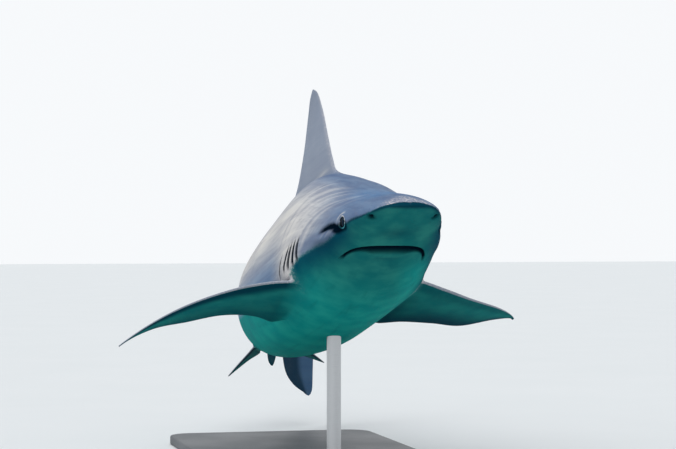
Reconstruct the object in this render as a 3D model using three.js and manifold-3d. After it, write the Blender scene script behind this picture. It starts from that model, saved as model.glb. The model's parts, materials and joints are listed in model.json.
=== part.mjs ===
// A sandbar shark (Carcharhinus plumbeus), life size, as a still model on a display stand.
// Millimetres, +Z up. The head points along -Y and the animal's own left side lies towards +X.
// The origin is the middle of the stand's underside, on the floor.
//
// The animal is drawn first in a straight frame: y runs from the snout tip (0) to the tail tip
// (LENGTH), x to its left and z up. posed() then bends that frame into the swimming pose, and
// place turns it nose up and sets it over the stand.
import * as THREE from "three";
import { mergeVertices } from "three/addons/utils/BufferGeometryUtils.js";
import Module from "manifold-3d";

const wasm = await Module();
wasm.setup();

// ---------------------------------------------------------------- driving dimensions

const LENGTH = 1800; // snout tip to the tip of the upper tail lobe
const GAP = 0.4; // left between neighbouring pieces

// Cross sections of the body: distance from the snout, height of the back, height of the belly,
// half width, height of the widest line, and how full the upper and lower halves are
// (2 is an ellipse, more is boxier).
const STATIONS = [
  [0, 0, 0, 0, 0, 2.0, 2.2],
  [18, 12, -6, 44, -2, 1.9, 2.2],
  [63, 28, -22, 66.5, -7, 1.85, 2.5],
  [135, 44, -45, 84, -6, 1.9, 2.45],
  [207, 59, -73, 98, -10, 1.95, 2.1],
  [288, 84, -99, 109, -13, 2.0, 2.1],
  [405, 125.5, -117, 120, -18, 2.0, 2.1],
  [558, 166, -129, 112, -14, 1.95, 2.35],
  [720, 147, -132, 108, -11, 1.95, 2.4],
  [900, 124, -122, 88, -5, 2.0, 2.2],
  [1080, 100, -85, 64, 5, 2.0, 2.0],
  [1224, 80, -44, 43, 18, 2.0, 2.0],
  [1323, 67, -22, 32, 23, 2.0, 2.0],
];

// The pose. Curvature of the backbone to the animal's left, in radians per body length, at
// fractions of the length; how far the snout dips and the tail rises; how the head is rolled
// about its length, its left side up, so that it is level; and the whole body's nose-up pitch
// and its bank.
const BEND = [
  [0, 0.94],
  [0.2, -0.75],
  [0.45, 0.26],
  [0.55, 1.34],
  [0.63, 3.0],
  [0.72, 3.35],
  [0.85, 1.9],
  [1, 1.6],
];
const SNOUT_DIP = { drop: 24, from: 540 };
const TAIL_RISE = { lift: 49, from: 630, to: 1260 };
const HEAD_ROLL = { angle: THREE.MathUtils.degToRad(4), whole: 60, none: 340, height: -10 };
const PITCH = THREE.MathUtils.degToRad(13.1);
const BANK = THREE.MathUtils.degToRad(3.9);

// Where the body is parted into nodes, and the number of sections in each length.
const CUTS = [0, 445, 800, 1120, 1323];
const SECTIONS = [16, 8, 8, 5];
const BODY_SIDES = 32;

// Head.
const EYE = { y: 126, angle: 91, radius: 15, sunk: 13 };
const MOUTH = {
  front: 139,
  corner: 206,
  halfWidth: 72,
  roundness: 0.4, // less is a squarer arch
  height: -35, // of the jaw's upper side at its front
  tilt: -0.2,
  jawEnd: 250,
};
const GILLS = {
  count: 5,
  first: 338,
  last: 436,
  top: [-2, -11], // height of the upper end of the first slit and of the last
  low: [-52, -44],
  lean: 0.27, // rearward for each millimetre up
  width: 2,
  depth: 6,
};

// Fin outlines, each as the front margin and the rear margin from the root to the tip, in
// [rearward, outward] distances from the front of the fin's root.
const DORSAL = {
  at: [-8, 527, 158],
  front: [[-50, -14], [-14, 6], [18, 40], [56, 86], [131, 170], [196, 221], [220, 231]],
  rear: [[196, -34], [232, -6], [286, 2], [252, 44], [229, 108], [230, 180], [233, 222], [228, 231]],
  thickness: 17,
  lean: 1.5,
  curl: 0.27,
};
const DORSAL_2 = {
  at: [0, 1134, 92],
  front: [[-6, -16], [10, 10], [38, 38], [66, 52]],
  rear: [[76, -18], [98, -4], [136, 2], [106, 20], [84, 40], [78, 51]],
  thickness: 7,
};
const ANAL = {
  at: [0, 1146, -62],
  front: [[-34, -24], [-16, 4], [14, 30], [48, 47], [90, 56]],
  rear: [[104, -40], [124, -26], [152, -14], [144, 12], [134, 36], [120, 50], [106, 56]],
  thickness: 7,
};
const PECTORAL = {
  at: [114, 400, -65],
  front: [[-4, -40], [0, 0], [30, 68], [67, 124], [141, 220], [213, 282], [235, 297]],
  rear: [
    [120, -40], [150, -6], [228, 4], [203, 46], [199, 104], [217, 172], [207, 236], [227, 285],
    [242, 296],
  ],
  thickness: 19,
  curlSpan: 306,
  right: { droop: -5.5, sweep: 8, curl: 38, twist: 8, lift: -3 },
  left: { droop: 4.4, sweep: 4, curl: -27, twist: 9.5, lift: 13.5 },
};
const PELVIC = {
  at: [46, 918, -92],
  front: [[-6, -22], [0, 0], [30, 34], [62, 68], [78, 82]],
  rear: [[84, -22], [100, -2], [138, 6], [108, 32], [93, 62], [85, 82]],
  thickness: 9,
  curlSpan: 90,
  right: { droop: 42, sweep: 17, curl: 0, twist: 14, lift: -1 },
  left: { droop: 18, sweep: 12, curl: 0, twist: 2, lift: -3 },
};

// Tail fin: its upper and lower margins as [y, z], and the thickness of the body inside it.
const TAIL_UPPER = [[1323, 67], [1390, 80], [1500, 124], [1640, 196], [1755, 258], [1792, 275]];
const TAIL_LOWER = [
  [1323, -22], [1325, -80], [1349, -129], [1386, -154], [1434, -172], [1472, -181], [1478, -174],
  [1453, -108], [1468, -40], [1556, 56], [1655, 144], [1706, 182], [1717, 208],
  [1752, 214], [1788, 246], [1797, 267],
];
const TAIL_PART = { stem: -12, fork: [1468, -40] }; // the line that parts the two lobes
const TAIL_CORE = { halfWidth: 32, halfHeight: 44 };
const MEMBRANE = { root: 6.5, tip: 1.6 };

// Stand.
const BASE = { length: 860, width: 420, height: 18, corner: 50, centre: 690 };
const TAIL_CLEARANCE = 52; // from the base's top to the lowest point of the tail
const ROD = { y: 550, radius: 13, footRadius: 48, footHeight: 9, fillet: 14 };

// ---------------------------------------------------------------- curves

// A smooth curve through the points (xs, ys), as a function.
function smoothThrough(xs, ys) {
  const last = xs.length - 1;
  const slope = xs.slice(1).map((x, i) => (ys[i + 1] - ys[i]) / (x - xs[i]));
  const tangent = xs.map((x, i) => {
    if (i === 0) return slope[0];
    if (i === last) return slope[last - 1];
    const before = x - xs[i - 1];
    const after = xs[i + 1] - x;
    return (slope[i - 1] * after + slope[i] * before) / (before + after);
  });
  return (x) => {
    let i = 0;
    while (i < last - 1 && x >= xs[i + 1]) i++;
    const h = xs[i + 1] - xs[i];
    const s = (x - xs[i]) / h;
    return (
      (2 * s ** 3 - 3 * s ** 2 + 1) * ys[i] +
      (s ** 3 - 2 * s ** 2 + s) * h * tangent[i] +
      (3 * s ** 2 - 2 * s ** 3) * ys[i + 1] +
      (s ** 3 - s ** 2) * h * tangent[i + 1]
    );
  };
}

// A smooth planar path through points, as a function of 0..1 along its length.
function smoothPath(points) {
  const along = [0];
  points.slice(1).forEach(([a, b], i) => {
    along.push(along[i] + Math.hypot(a - points[i][0], b - points[i][1]));
  });
  const share = along.map((s) => s / along[along.length - 1]);
  const first = smoothThrough(share, points.map((p) => p[0]));
  const second = smoothThrough(share, points.map((p) => p[1]));
  return (u) => [first(u), second(u)];
}

// ---------------------------------------------------------------- the pose

// Heading and place of the backbone at steps along the body, by adding up its curvature.
const STEP = 5;
const curvature = straightThrough(BEND);
const backbone = [{ x: 0, y: 0, heading: 0 }];
for (let y = 0; y < LENGTH + 40; y += STEP) {
  const last = backbone[backbone.length - 1];
  const heading = last.heading + (curvature((y + STEP / 2) / LENGTH) / LENGTH) * STEP;
  const middle = (last.heading + heading) / 2;
  backbone.push({
    x: last.x + Math.sin(middle) * STEP,
    y: last.y + Math.cos(middle) * STEP,
    heading,
  });
}

// Straight lines between [x, y] pairs, as a function.
function straightThrough(pairs) {
  return (x) => {
    let i = 0;
    while (i < pairs.length - 2 && x > pairs[i + 1][0]) i++;
    const [x0, y0] = pairs[i];
    const [x1, y1] = pairs[i + 1];
    return y0 + ((y1 - y0) * (x - x0)) / (x1 - x0);
  };
}

// How far the backbone is raised at y.
function rise(y) {
  const dip = Math.max(0, (SNOUT_DIP.from - y) / SNOUT_DIP.from);
  const climb = Math.max(0, (y - TAIL_RISE.from) / (TAIL_RISE.to - TAIL_RISE.from));
  const eased = climb < 1 ? climb ** 2 : 2 * climb - 1;
  return -SNOUT_DIP.drop * dip ** 2 + TAIL_RISE.lift * eased;
}

// A point of the straight frame with the roll of the head.
function rolled([x, y, z]) {
  const share = 1 - THREE.MathUtils.smoothstep(y, HEAD_ROLL.whole, HEAD_ROLL.none);
  const [sine, cosine] = [Math.sin(HEAD_ROLL.angle * share), Math.cos(HEAD_ROLL.angle * share)];
  const above = z - HEAD_ROLL.height;
  return [x * cosine - above * sine, y, HEAD_ROLL.height + above * cosine + x * sine];
}

// A point of the straight frame, carried to the bent body.
function posed(point) {
  const [x, y, z] = rolled(point);
  const at = Math.min(Math.max(y / STEP, 0), backbone.length - 1.001);
  const i = Math.floor(at);
  const mix = (key) => THREE.MathUtils.lerp(backbone[i][key], backbone[i + 1][key], at - i);
  const before = Math.min(y, 0); // ahead of the snout the frame runs on straight
  const heading = mix("heading");
  return new THREE.Vector3(
    mix("x") + before * Math.sin(heading) + x * Math.cos(heading),
    mix("y") + before * Math.cos(heading) - x * Math.sin(heading),
    z + rise(y),
  );
}

// Nose up and banked, then moved so that the base is centred under the body and the tail
// hangs clear of it.
const place = new THREE.Matrix4()
  .makeRotationY(BANK)
  .multiply(new THREE.Matrix4().makeRotationX(-PITCH));
const overBase = posed([0, BASE.centre, 0]).applyMatrix4(place);
const lowest = Math.min(...TAIL_LOWER.map((yz) => posed([0, ...yz]).applyMatrix4(place).z));
place.premultiply(
  new THREE.Matrix4().makeTranslation(
    -overBase.x,
    -overBase.y,
    BASE.height + TAIL_CLEARANCE - lowest,
  ),
);

// ---------------------------------------------------------------- solids

// A closed solid from loops of points, all with the same count, and a point that closes each end.
function loft(loops, startPoint, endPoint) {
  const count = loops[0].length;
  const ends = [startPoint ?? middleOf(loops[0]), endPoint ?? middleOf(loops.at(-1))];
  const points = [...loops.flat(), ...ends];
  const start = points.length - 2;
  const end = points.length - 1;
  const lastRow = (loops.length - 1) * count;
  const faces = [];
  for (let j = 0; j < count; j++) {
    const k = (j + 1) % count;
    faces.push(start, k, j, end, lastRow + j, lastRow + k);
    for (let row = 0; row < lastRow; row += count) {
      faces.push(row + j, row + k, row + count + k, row + j, row + count + k, row + count + j);
    }
  }
  const geometry = new THREE.BufferGeometry();
  geometry.setAttribute("position", new THREE.Float32BufferAttribute(points.flat(), 3));
  geometry.setIndex(faces);
  return geometry;
}

function middleOf(loop) {
  return [0, 1, 2].map((k) => loop.reduce((sum, p) => sum + p[k], 0) / loop.length);
}

// Carries a straight-frame geometry to its place over the stand.
function intoPlace(geometry) {
  const position = geometry.getAttribute("position");
  for (let i = 0; i < position.count; i++) {
    const point = posed([position.getX(i), position.getY(i), position.getZ(i)]);
    position.setXYZ(i, ...point.applyMatrix4(place).toArray());
  }
  return geometry;
}

// The manifold solid of a closed geometry, turned right side out.
function solidOf(geometry) {
  const bare = geometry.clone();
  bare.deleteAttribute("normal");
  bare.deleteAttribute("uv");
  const merged = mergeVertices(bare, 1e-3);
  const triVerts = new Uint32Array(merged.index.array);
  const vertProperties = merged.getAttribute("position").array;
  if (signedVolume(vertProperties, triVerts) < 0) {
    for (let i = 0; i < triVerts.length; i += 3) {
      [triVerts[i + 1], triVerts[i + 2]] = [triVerts[i + 2], triVerts[i + 1]];
    }
  }
  return new wasm.Manifold(new wasm.Mesh({ numProp: 3, vertProperties, triVerts }));
}

function signedVolume(vertices, triangles) {
  const [a, b, c] = [new THREE.Vector3(), new THREE.Vector3(), new THREE.Vector3()];
  let sum = 0;
  for (let i = 0; i < triangles.length; i += 3) {
    [a, b, c].forEach((v, k) => v.fromArray(vertices, 3 * triangles[i + k]));
    sum += a.dot(b.cross(c));
  }
  return sum / 6;
}

function geometryOf(solid) {
  const mesh = solid.getMesh();
  const geometry = new THREE.BufferGeometry();
  geometry.setAttribute("position", new THREE.Float32BufferAttribute(mesh.vertProperties, 3));
  geometry.setIndex([...mesh.triVerts]);
  geometry.computeVertexNormals();
  return geometry;
}

const placed = (geometry) => solidOf(intoPlace(geometry));

// ---------------------------------------------------------------- the body

const roots = STATIONS.map((station) => Math.sqrt(station[0]));
const [backAt, bellyAt, halfWidthAt, widestAt, upperAt, lowerAt] = [1, 2, 3, 4, 5, 6].map((k) => {
  const curve = smoothThrough(roots, STATIONS.map((station) => station[k]));
  return (y) => curve(Math.sqrt(Math.max(0, y)));
});

// The point of the body at y and at an angle from the top, towards the left, in degrees. grow
// moves it outwards.
function bodyPoint(y, angle, grow = 0) {
  const radians = THREE.MathUtils.degToRad(angle);
  const [sine, cosine] = [Math.sin(radians), Math.cos(radians)];
  const power = 2 / (cosine >= 0 ? upperAt(y) : lowerAt(y));
  const reach = cosine >= 0 ? backAt(y) - widestAt(y) : widestAt(y) - bellyAt(y);
  return [
    (halfWidthAt(y) + grow) * Math.sign(sine) * Math.abs(sine) ** power,
    y,
    widestAt(y) + (reach + grow) * Math.sign(cosine) * Math.abs(cosine) ** power,
  ];
}

function bodyLoop(y, grow) {
  return Array.from({ length: BODY_SIDES }, (_, j) => bodyPoint(y, (j * 360) / BODY_SIDES, grow));
}

// Where the sections of one length of the body lie. They crowd towards the snout tip.
function sectionPlaces(index) {
  const [from, to] = [CUTS[index], CUTS[index + 1]];
  return Array.from({ length: SECTIONS[index] + 1 }, (_, i) => {
    const share = i / SECTIONS[index];
    return from + (to - from) * (from === 0 ? share ** 1.7 : share);
  });
}

const [wholeHead, shoulders, trunk, stem] = SECTIONS.map((_, index) => {
  const places = sectionPlaces(index);
  places[places.length - 1] -= GAP / 2;
  if (index > 0) places[0] += GAP / 2;
  const loops = (index > 0 ? places : places.slice(1)).map((y) => bodyLoop(y, 0));
  return placed(loft(loops, index > 0 ? undefined : [0, 0, 0]));
});

// The whole body made GAP larger all round. It cuts what grows from the body or holds it up.
const everySection = SECTIONS.flatMap((_, index) => sectionPlaces(index).slice(1));
const clearance = placed(loft(everySection.map((y) => bodyLoop(y, GAP)), [0, -GAP, 0]));

// ---------------------------------------------------------------- eyes, jaw and gills

function ball(centre, radius) {
  return placed(new THREE.SphereGeometry(radius, 16, 10).translate(...centre));
}

const SIDES = { left: 1, right: -1 }; // the way of each side along X
const eyeBalls = {};
let head = wholeHead;
for (const [side, sign] of Object.entries(SIDES)) {
  const surface = bodyPoint(EYE.y, sign * EYE.angle);
  const centre = [surface[0] - sign * EYE.sunk, surface[1], surface[2]];
  eyeBalls[side] = ball(centre, EYE.radius);
  head = head.subtract(ball(centre, EYE.radius + GAP));
}

// The lower jaw is what lies under the mouth line: a U-shaped block, its top following the
// line of the mouth, cut out of the head.
function jawBlock(grow) {
  const width = MOUTH.halfWidth + grow;
  const front = MOUTH.front - grow;
  const depth = MOUTH.corner - front;
  const outline = new THREE.Shape();
  const steps = 16;
  for (let i = 0; i <= steps; i++) {
    const across = (2 * i) / steps - 1;
    const back = MOUTH.corner - depth * Math.cos((across * Math.PI) / 2) ** MOUTH.roundness;
    outline[i ? "lineTo" : "moveTo"](width * across, back);
  }
  outline.lineTo(width, MOUTH.jawEnd + grow);
  outline.lineTo(-width, MOUTH.jawEnd + grow);
  outline.closePath();
  const height = 100; // enough to reach below the chin
  const block = new THREE.ExtrudeGeometry(outline, { depth: height, bevelEnabled: false });
  const position = block.getAttribute("position");
  for (let i = 0; i < position.count; i++) {
    const behind = position.getY(i) - MOUTH.front;
    const lid = MOUTH.height + grow + MOUTH.tilt * behind;
    position.setZ(i, position.getZ(i) - height + lid);
  }
  return placed(block);
}
const lowerJaw = head.intersect(jawBlock(0));
head = head.subtract(jawBlock(GAP));

// Gill slits on each side, each a shallow upright cut that leans back at its top.
for (const sign of Object.values(SIDES)) {
  for (let i = 0; i < GILLS.count; i++) {
    const share = i / (GILLS.count - 1);
    const y = THREE.MathUtils.lerp(GILLS.first, GILLS.last, share);
    const high = THREE.MathUtils.lerp(...GILLS.top, share);
    const low = THREE.MathUtils.lerp(...GILLS.low, share);
    const slit = new THREE.BoxGeometry(2 * GILLS.depth, GILLS.width, high - low, 1, 1, 2);
    const position = slit.getAttribute("position");
    for (let k = 0; k < position.count; k++) {
      const z = position.getZ(k) + (high + low) / 2;
      const lean = GILLS.lean * (z - low);
      const side = sideAtHeight(y + lean, z);
      position.setXYZ(k, sign * (side + position.getX(k)), position.getY(k) + y + lean, z);
    }
    head = head.subtract(placed(slit));
  }
}

// Half width of the body at a height z.
function sideAtHeight(y, z) {
  const above = z >= widestAt(y);
  const power = above ? upperAt(y) : lowerAt(y);
  const reach = above ? backAt(y) - widestAt(y) : widestAt(y) - bellyAt(y);
  const share = Math.min(1, Math.abs(z - widestAt(y)) / reach);
  return halfWidthAt(y) * (1 - share ** power) ** (1 / power);
}

// ---------------------------------------------------------------- fins

// Half thickness across a fin, from its front margin (0) to its rear margin (1), as a share of
// the most.
function finSection(v) {
  return 1.4845 * Math.sqrt(v) - 0.63 * v - 1.758 * v ** 2 + 1.4215 * v ** 3 - 0.5075 * v ** 4;
}

const FIN_ROWS = 14;
const FIN_POINTS = 7;
const EDGE = 0.6; // least half thickness of a fin away from its margins

// Loops of [rearward, outward, sideways] points of a fin, from its root to its tip.
function finLoops(fin) {
  const [front, rear] = [smoothPath(fin.front), smoothPath(fin.rear)];
  return Array.from({ length: FIN_ROWS + 1 }, (_, i) => {
    const u = i / FIN_ROWS;
    const half = (fin.thickness / 2) * (1 - u) ** 0.85 + EDGE;
    return bladeLoop(front(u), rear(u), (v) => half * finSection(v));
  });
}

// One closed loop across a blade, from its front margin to its rear margin and back.
function bladeLoop(front, rear, halfThickness) {
  const side = (sign, shares) =>
    shares.map((v) => [
      THREE.MathUtils.lerp(front[0], rear[0], v),
      THREE.MathUtils.lerp(front[1], rear[1], v),
      sign * (halfThickness(v) + EDGE * Math.sin(Math.PI * v) ** 0.3),
    ]);
  const shares = Array.from({ length: FIN_POINTS }, (_, k) => {
    return (1 - Math.cos((k * Math.PI) / (FIN_POINTS - 1))) / 2;
  });
  return [...side(1, shares), ...side(-1, shares.slice(1, -1).reverse())];
}

// A fin of the middle line, above the body (up = 1) or below it (up = -1).
function medianFin(fin, up) {
  const lean = THREE.MathUtils.degToRad(fin.lean ?? 0);
  const loops = finLoops(fin).map((loop) =>
    loop.map(([rearward, outward, sideways]) => {
      const curl = ((fin.curl ?? 0) * Math.max(0, outward) ** 2) / 1000;
      return [
        fin.at[0] + sideways + outward * Math.sin(lean) + curl,
        fin.at[1] + rearward,
        fin.at[2] + up * outward,
      ];
    }),
  );
  return placed(loft(loops)).subtract(clearance);
}

// A paired fin. It leaves the body at droop degrees below level, curls on by curl degrees over
// curlSpan of its width, sweeps back in its own plane, and twists nose up about its root. lift
// raises the whole fin.
function pairedFin(fin, side) {
  const sign = SIDES[side];
  const [droop, sweep, curl, twist] = ["droop", "sweep", "curl", "twist"].map((key) =>
    THREE.MathUtils.degToRad(fin[side][key]),
  );
  const angleAt = (s) => droop + (curl * Math.max(0, s)) / fin.curlSpan;
  // Across and down along the curled fin, added up from the root in steps.
  const profile = (s) => {
    const steps = 24;
    let [across, down] = [0, 0];
    for (let i = 0; i < steps; i++) {
      const angle = angleAt(((i + 0.5) / steps) * s);
      across += (Math.cos(angle) * s) / steps;
      down += (Math.sin(angle) * s) / steps;
    }
    return [across, down];
  };
  const loops = finLoops(fin).map((loop) =>
    loop.map(([rearward, outward, sideways]) => {
      const back = rearward * Math.cos(sweep) + outward * Math.sin(sweep);
      const span = outward * Math.cos(sweep) - rearward * Math.sin(sweep);
      const [across, down] = profile(span);
      const angle = angleAt(span);
      return [
        sign * (fin.at[0] + across + sideways * Math.sin(angle)),
        fin.at[1] + back * Math.cos(twist),
        fin.at[2] + fin[side].lift - down + sideways * Math.cos(angle) - back * Math.sin(twist),
      ];
    }),
  );
  return placed(loft(loops)).subtract(clearance);
}

// ---------------------------------------------------------------- tail fin

// The tail fin as one blade. The end of the body runs on inside its upper margin as a thick
// core that thins out towards the tip, and the rest is a thin membrane.
function tailFin() {
  const [upper, lower] = [smoothPath(TAIL_UPPER), smoothPath(TAIL_LOWER)];
  const rows = 34;
  const loops = Array.from({ length: rows + 1 }, (_, i) => {
    const u = i / rows;
    const [top, bottom] = [upper(u), lower(u)];
    const chord = Math.hypot(top[0] - bottom[0], top[1] - bottom[1]);
    const core = {
      halfWidth: TAIL_CORE.halfWidth * (1 - u) ** 1.4 + EDGE,
      halfHeight: Math.min(chord / 2, TAIL_CORE.halfHeight * (1 - u) ** 0.7 + EDGE),
    };
    const membrane = THREE.MathUtils.lerp(MEMBRANE.root, MEMBRANE.tip, Math.sqrt(u));
    const halfThickness = (v) => {
      const offset = Math.min(1, Math.abs((v * chord) / core.halfHeight - 1));
      return Math.hypot(core.halfWidth * Math.sqrt(1 - offset ** 2), membrane * finSection(v));
    };
    return bladeLoop(top, bottom, halfThickness).map(([y, z, side]) => [side, y, z]);
  });
  loops[0] = loops[0].map(([x, y, z]) => [x, y + GAP / 2, z]);
  return placed(loft(loops));
}

// A block over the lower lobe, up to the line that parts it from the upper lobe.
function lowerLobeBlock(grow) {
  const [front, back, deep, halfWidth] = [1300, 1560, -300, 100];
  const [forkY, forkZ] = TAIL_PART.fork;
  const outline = new THREE.Shape();
  outline.moveTo(front, deep);
  outline.lineTo(back, deep);
  outline.lineTo(back, forkZ + grow);
  outline.lineTo(forkY, forkZ + grow);
  outline.lineTo(CUTS.at(-1), TAIL_PART.stem + grow);
  outline.lineTo(front, TAIL_PART.stem + grow);
  outline.closePath();
  const block = new THREE.ExtrudeGeometry(outline, { depth: 2 * halfWidth, bevelEnabled: false });
  return placed(block.rotateX(Math.PI / 2).rotateZ(Math.PI / 2).translate(-halfWidth, 0, 0));
}

// ---------------------------------------------------------------- stand

const EASE = 2; // the rounding of the stand's edges

function standBase() {
  const [x, y, r] = [BASE.width / 2 - EASE, BASE.length / 2 - EASE, BASE.corner];
  const outline = new THREE.Shape();
  outline.absarc(x - r, y - r, r, 0, Math.PI / 2);
  outline.absarc(r - x, y - r, r, Math.PI / 2, Math.PI);
  outline.absarc(r - x, r - y, r, Math.PI, 1.5 * Math.PI);
  outline.absarc(x - r, r - y, r, 1.5 * Math.PI, 2 * Math.PI);
  return new THREE.ExtrudeGeometry(outline, {
    depth: BASE.height - 2 * EASE,
    bevelThickness: EASE,
    bevelSize: EASE,
    bevelSegments: 1,
    curveSegments: 6,
  }).translate(0, 0, EASE);
}

// An upright rod with a flared foot, up to the belly.
function standRod() {
  const { y, radius, footRadius, footHeight, fillet } = ROD;
  const top = posed([0, y, widestAt(y)]).applyMatrix4(place);
  const foot = BASE.height + GAP;
  const profile = [
    new THREE.Vector2(0, foot),
    new THREE.Vector2(footRadius, foot),
    new THREE.Vector2(footRadius, foot + footHeight - EASE),
    new THREE.Vector2(footRadius - EASE, foot + footHeight),
  ];
  const steps = 4;
  for (let i = 0; i <= steps; i++) {
    const angle = (i * Math.PI) / 2 / steps;
    const out = radius + fillet * (1 - Math.sin(angle));
    profile.push(new THREE.Vector2(out, foot + footHeight + fillet * (1 - Math.cos(angle))));
  }
  profile.push(new THREE.Vector2(radius, top.z), new THREE.Vector2(0, top.z));
  const rod = new THREE.LatheGeometry(profile, 24).rotateX(Math.PI / 2);
  return solidOf(rod.translate(top.x, top.y, 0)).subtract(clearance);
}

// ---------------------------------------------------------------- assembly

const tail = tailFin();
const pieces = {
  head: [head, "back"],
  lower_jaw: [lowerJaw, "belly"],
  trunk_front: [shoulders, "back"],
  trunk_rear: [trunk, "back"],
  tail_stem: [stem, "back"],
  tail_fin_upper_lobe: [tail.subtract(lowerLobeBlock(GAP)), "fin"],
  tail_fin_lower_lobe: [tail.intersect(lowerLobeBlock(0)), "fin"],
  dorsal_fin_first: [medianFin(DORSAL, 1), "fin"],
  dorsal_fin_second: [medianFin(DORSAL_2, 1), "fin"],
  anal_fin: [medianFin(ANAL, -1), "fin"],
  pectoral_fin_left: [pairedFin(PECTORAL, "left"), "fin"],
  pectoral_fin_right: [pairedFin(PECTORAL, "right"), "fin"],
  pelvic_fin_left: [pairedFin(PELVIC, "left"), "fin"],
  pelvic_fin_right: [pairedFin(PELVIC, "right"), "fin"],
  eye_left: [eyeBalls.left, "eye"],
  eye_right: [eyeBalls.right, "eye"],
  stand_base: [solidOf(standBase()), "base"],
  stand_rod: [standRod(), "rod"],
};

const materials = {
  back: { color: 0x8d96a0, roughness: 0.5, metalness: 0 },
  belly: { color: 0xb4c0bc, roughness: 0.5, metalness: 0 },
  fin: { color: 0x7f8f9f, roughness: 0.5, metalness: 0 },
  eye: { color: 0xc8c9b8, roughness: 0.1, metalness: 0 },
  base: { color: 0x3c4248, roughness: 0.5, metalness: 0.2 },
  rod: { color: 0xb9bcc0, roughness: 0.3, metalness: 0.9 },
};

const shark = new THREE.Group();
for (const [name, [solid, finish]] of Object.entries(pieces)) {
  const material = new THREE.MeshStandardMaterial(materials[finish]);
  const mesh = new THREE.Mesh(geometryOf(solid), material);
  mesh.name = name;
  shark.add(mesh);
}

export default shark;
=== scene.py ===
# %% [markdown]
# A sandbar shark, life size, on a display stand.
# The solids of the model are loaded first. They fix where everything is, so nothing below
# moves them. What this script adds is the look: one skin over the whole body, two eyes, and
# a finished stand. The animal's own sizes are millimetres in a straight frame: y runs from
# the snout back, x to its left, z up. A pose function turns them into metres in the room.

# %% Load the solids
import json
import math

import bmesh
import bpy
import numpy as np
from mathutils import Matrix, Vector

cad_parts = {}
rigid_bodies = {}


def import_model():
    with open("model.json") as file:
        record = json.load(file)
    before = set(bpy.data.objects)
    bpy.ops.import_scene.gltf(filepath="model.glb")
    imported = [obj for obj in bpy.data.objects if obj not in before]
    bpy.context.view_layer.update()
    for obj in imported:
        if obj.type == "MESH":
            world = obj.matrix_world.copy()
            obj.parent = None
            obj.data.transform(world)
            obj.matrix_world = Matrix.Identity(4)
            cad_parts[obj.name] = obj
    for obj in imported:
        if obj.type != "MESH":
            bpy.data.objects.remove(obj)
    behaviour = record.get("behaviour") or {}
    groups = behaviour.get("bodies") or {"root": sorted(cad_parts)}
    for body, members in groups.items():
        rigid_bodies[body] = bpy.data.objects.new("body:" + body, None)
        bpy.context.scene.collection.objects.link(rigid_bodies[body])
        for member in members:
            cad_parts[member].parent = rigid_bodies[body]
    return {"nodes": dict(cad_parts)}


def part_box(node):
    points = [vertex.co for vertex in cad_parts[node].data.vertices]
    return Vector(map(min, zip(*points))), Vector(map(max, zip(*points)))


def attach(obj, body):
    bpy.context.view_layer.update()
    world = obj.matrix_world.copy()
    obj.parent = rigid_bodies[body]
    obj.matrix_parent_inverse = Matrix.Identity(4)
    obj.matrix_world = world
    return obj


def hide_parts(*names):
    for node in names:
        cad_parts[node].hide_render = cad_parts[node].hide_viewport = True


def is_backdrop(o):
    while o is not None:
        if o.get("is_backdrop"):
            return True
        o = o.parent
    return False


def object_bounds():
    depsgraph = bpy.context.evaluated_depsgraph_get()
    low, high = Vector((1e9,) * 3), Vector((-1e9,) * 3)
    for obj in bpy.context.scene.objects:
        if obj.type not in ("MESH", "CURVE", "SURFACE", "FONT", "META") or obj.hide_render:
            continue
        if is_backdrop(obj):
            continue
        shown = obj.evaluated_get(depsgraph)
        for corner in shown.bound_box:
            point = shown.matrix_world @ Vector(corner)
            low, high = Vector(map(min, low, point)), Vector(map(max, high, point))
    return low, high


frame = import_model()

solid_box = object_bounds()
scene = bpy.context.scene


def add_object(name, data):
    """Puts a mesh, a lamp or a camera into the scene as an object."""
    thing = bpy.data.objects.new(name, data)
    scene.collection.objects.link(thing)
    return thing


def rounded(box):
    """The two corners of a box, to the millimetre, for printing."""
    return [tuple(round(c, 3) for c in corner) for corner in box]


print("solids:", len(frame["nodes"]), "box", rounded(solid_box))

# %% [markdown]
# The camera stands to the animal's right of its nose, level, a little lower than the head,
# with a long lens. A long lens from far away keeps the head from looking swollen.

# %% Camera
CAMERA_PLACE = (-0.8717, -3.8487, 0.4468)
CAMERA_TURN = math.radians(-13.45)
CAMERA_LENS = 111.96

scene.view_settings.view_transform = "Standard"
lens = bpy.data.cameras.new("camera")
lens.lens = CAMERA_LENS
camera = add_object("camera", lens)
camera.location = CAMERA_PLACE
camera.rotation_euler = (math.pi / 2, 0, CAMERA_TURN)
scene.camera = camera
print("camera at", CAMERA_PLACE, "lens", CAMERA_LENS)

# %% [markdown]
# The light is a very soft sun from above the animal's right side, and an even sky. Area
# lamps could be as soft, but they leave a bright pool on the floor. A sun lights the whole
# floor alike. Lit from above, the back is bright and the belly lies in its own soft shade, as
# in water.

# %% Soft sun
SUN_PLACE = (-1.5, -2.0, 3.5)
SUN_TOWARDS = (0.42, 0.50, -1.0)
SUN_STRENGTH = 2.1
SUN_SOFTNESS = math.radians(70)
sun_data = bpy.data.lights.new("soft_sun", "SUN")
sun_data.energy = SUN_STRENGTH
sun_data.angle = SUN_SOFTNESS
sun = add_object("soft_sun", sun_data)
sun.location = SUN_PLACE
sun.rotation_euler = Vector(SUN_TOWARDS).to_track_quat("-Z", "Y").to_euler()
print("sun", SUN_STRENGTH)

# %% [markdown]
# The sky does two things. It lights the model evenly, and it is the plain background that
# the camera sees, that shines in metal and that shows through glass. The two have different
# strengths, so the kind of ray chooses between them.

# %% Sky
SKY_LIGHT = 0.42
LIT_COLOUR = (0.93, 0.97, 1.0, 1)
SEEN_COLOUR = (0.93, 0.95, 0.97, 1)
world = bpy.data.worlds.new("world")
scene.world = world
world.use_nodes = True
sky = world.node_tree
sky.nodes.clear()


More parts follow.
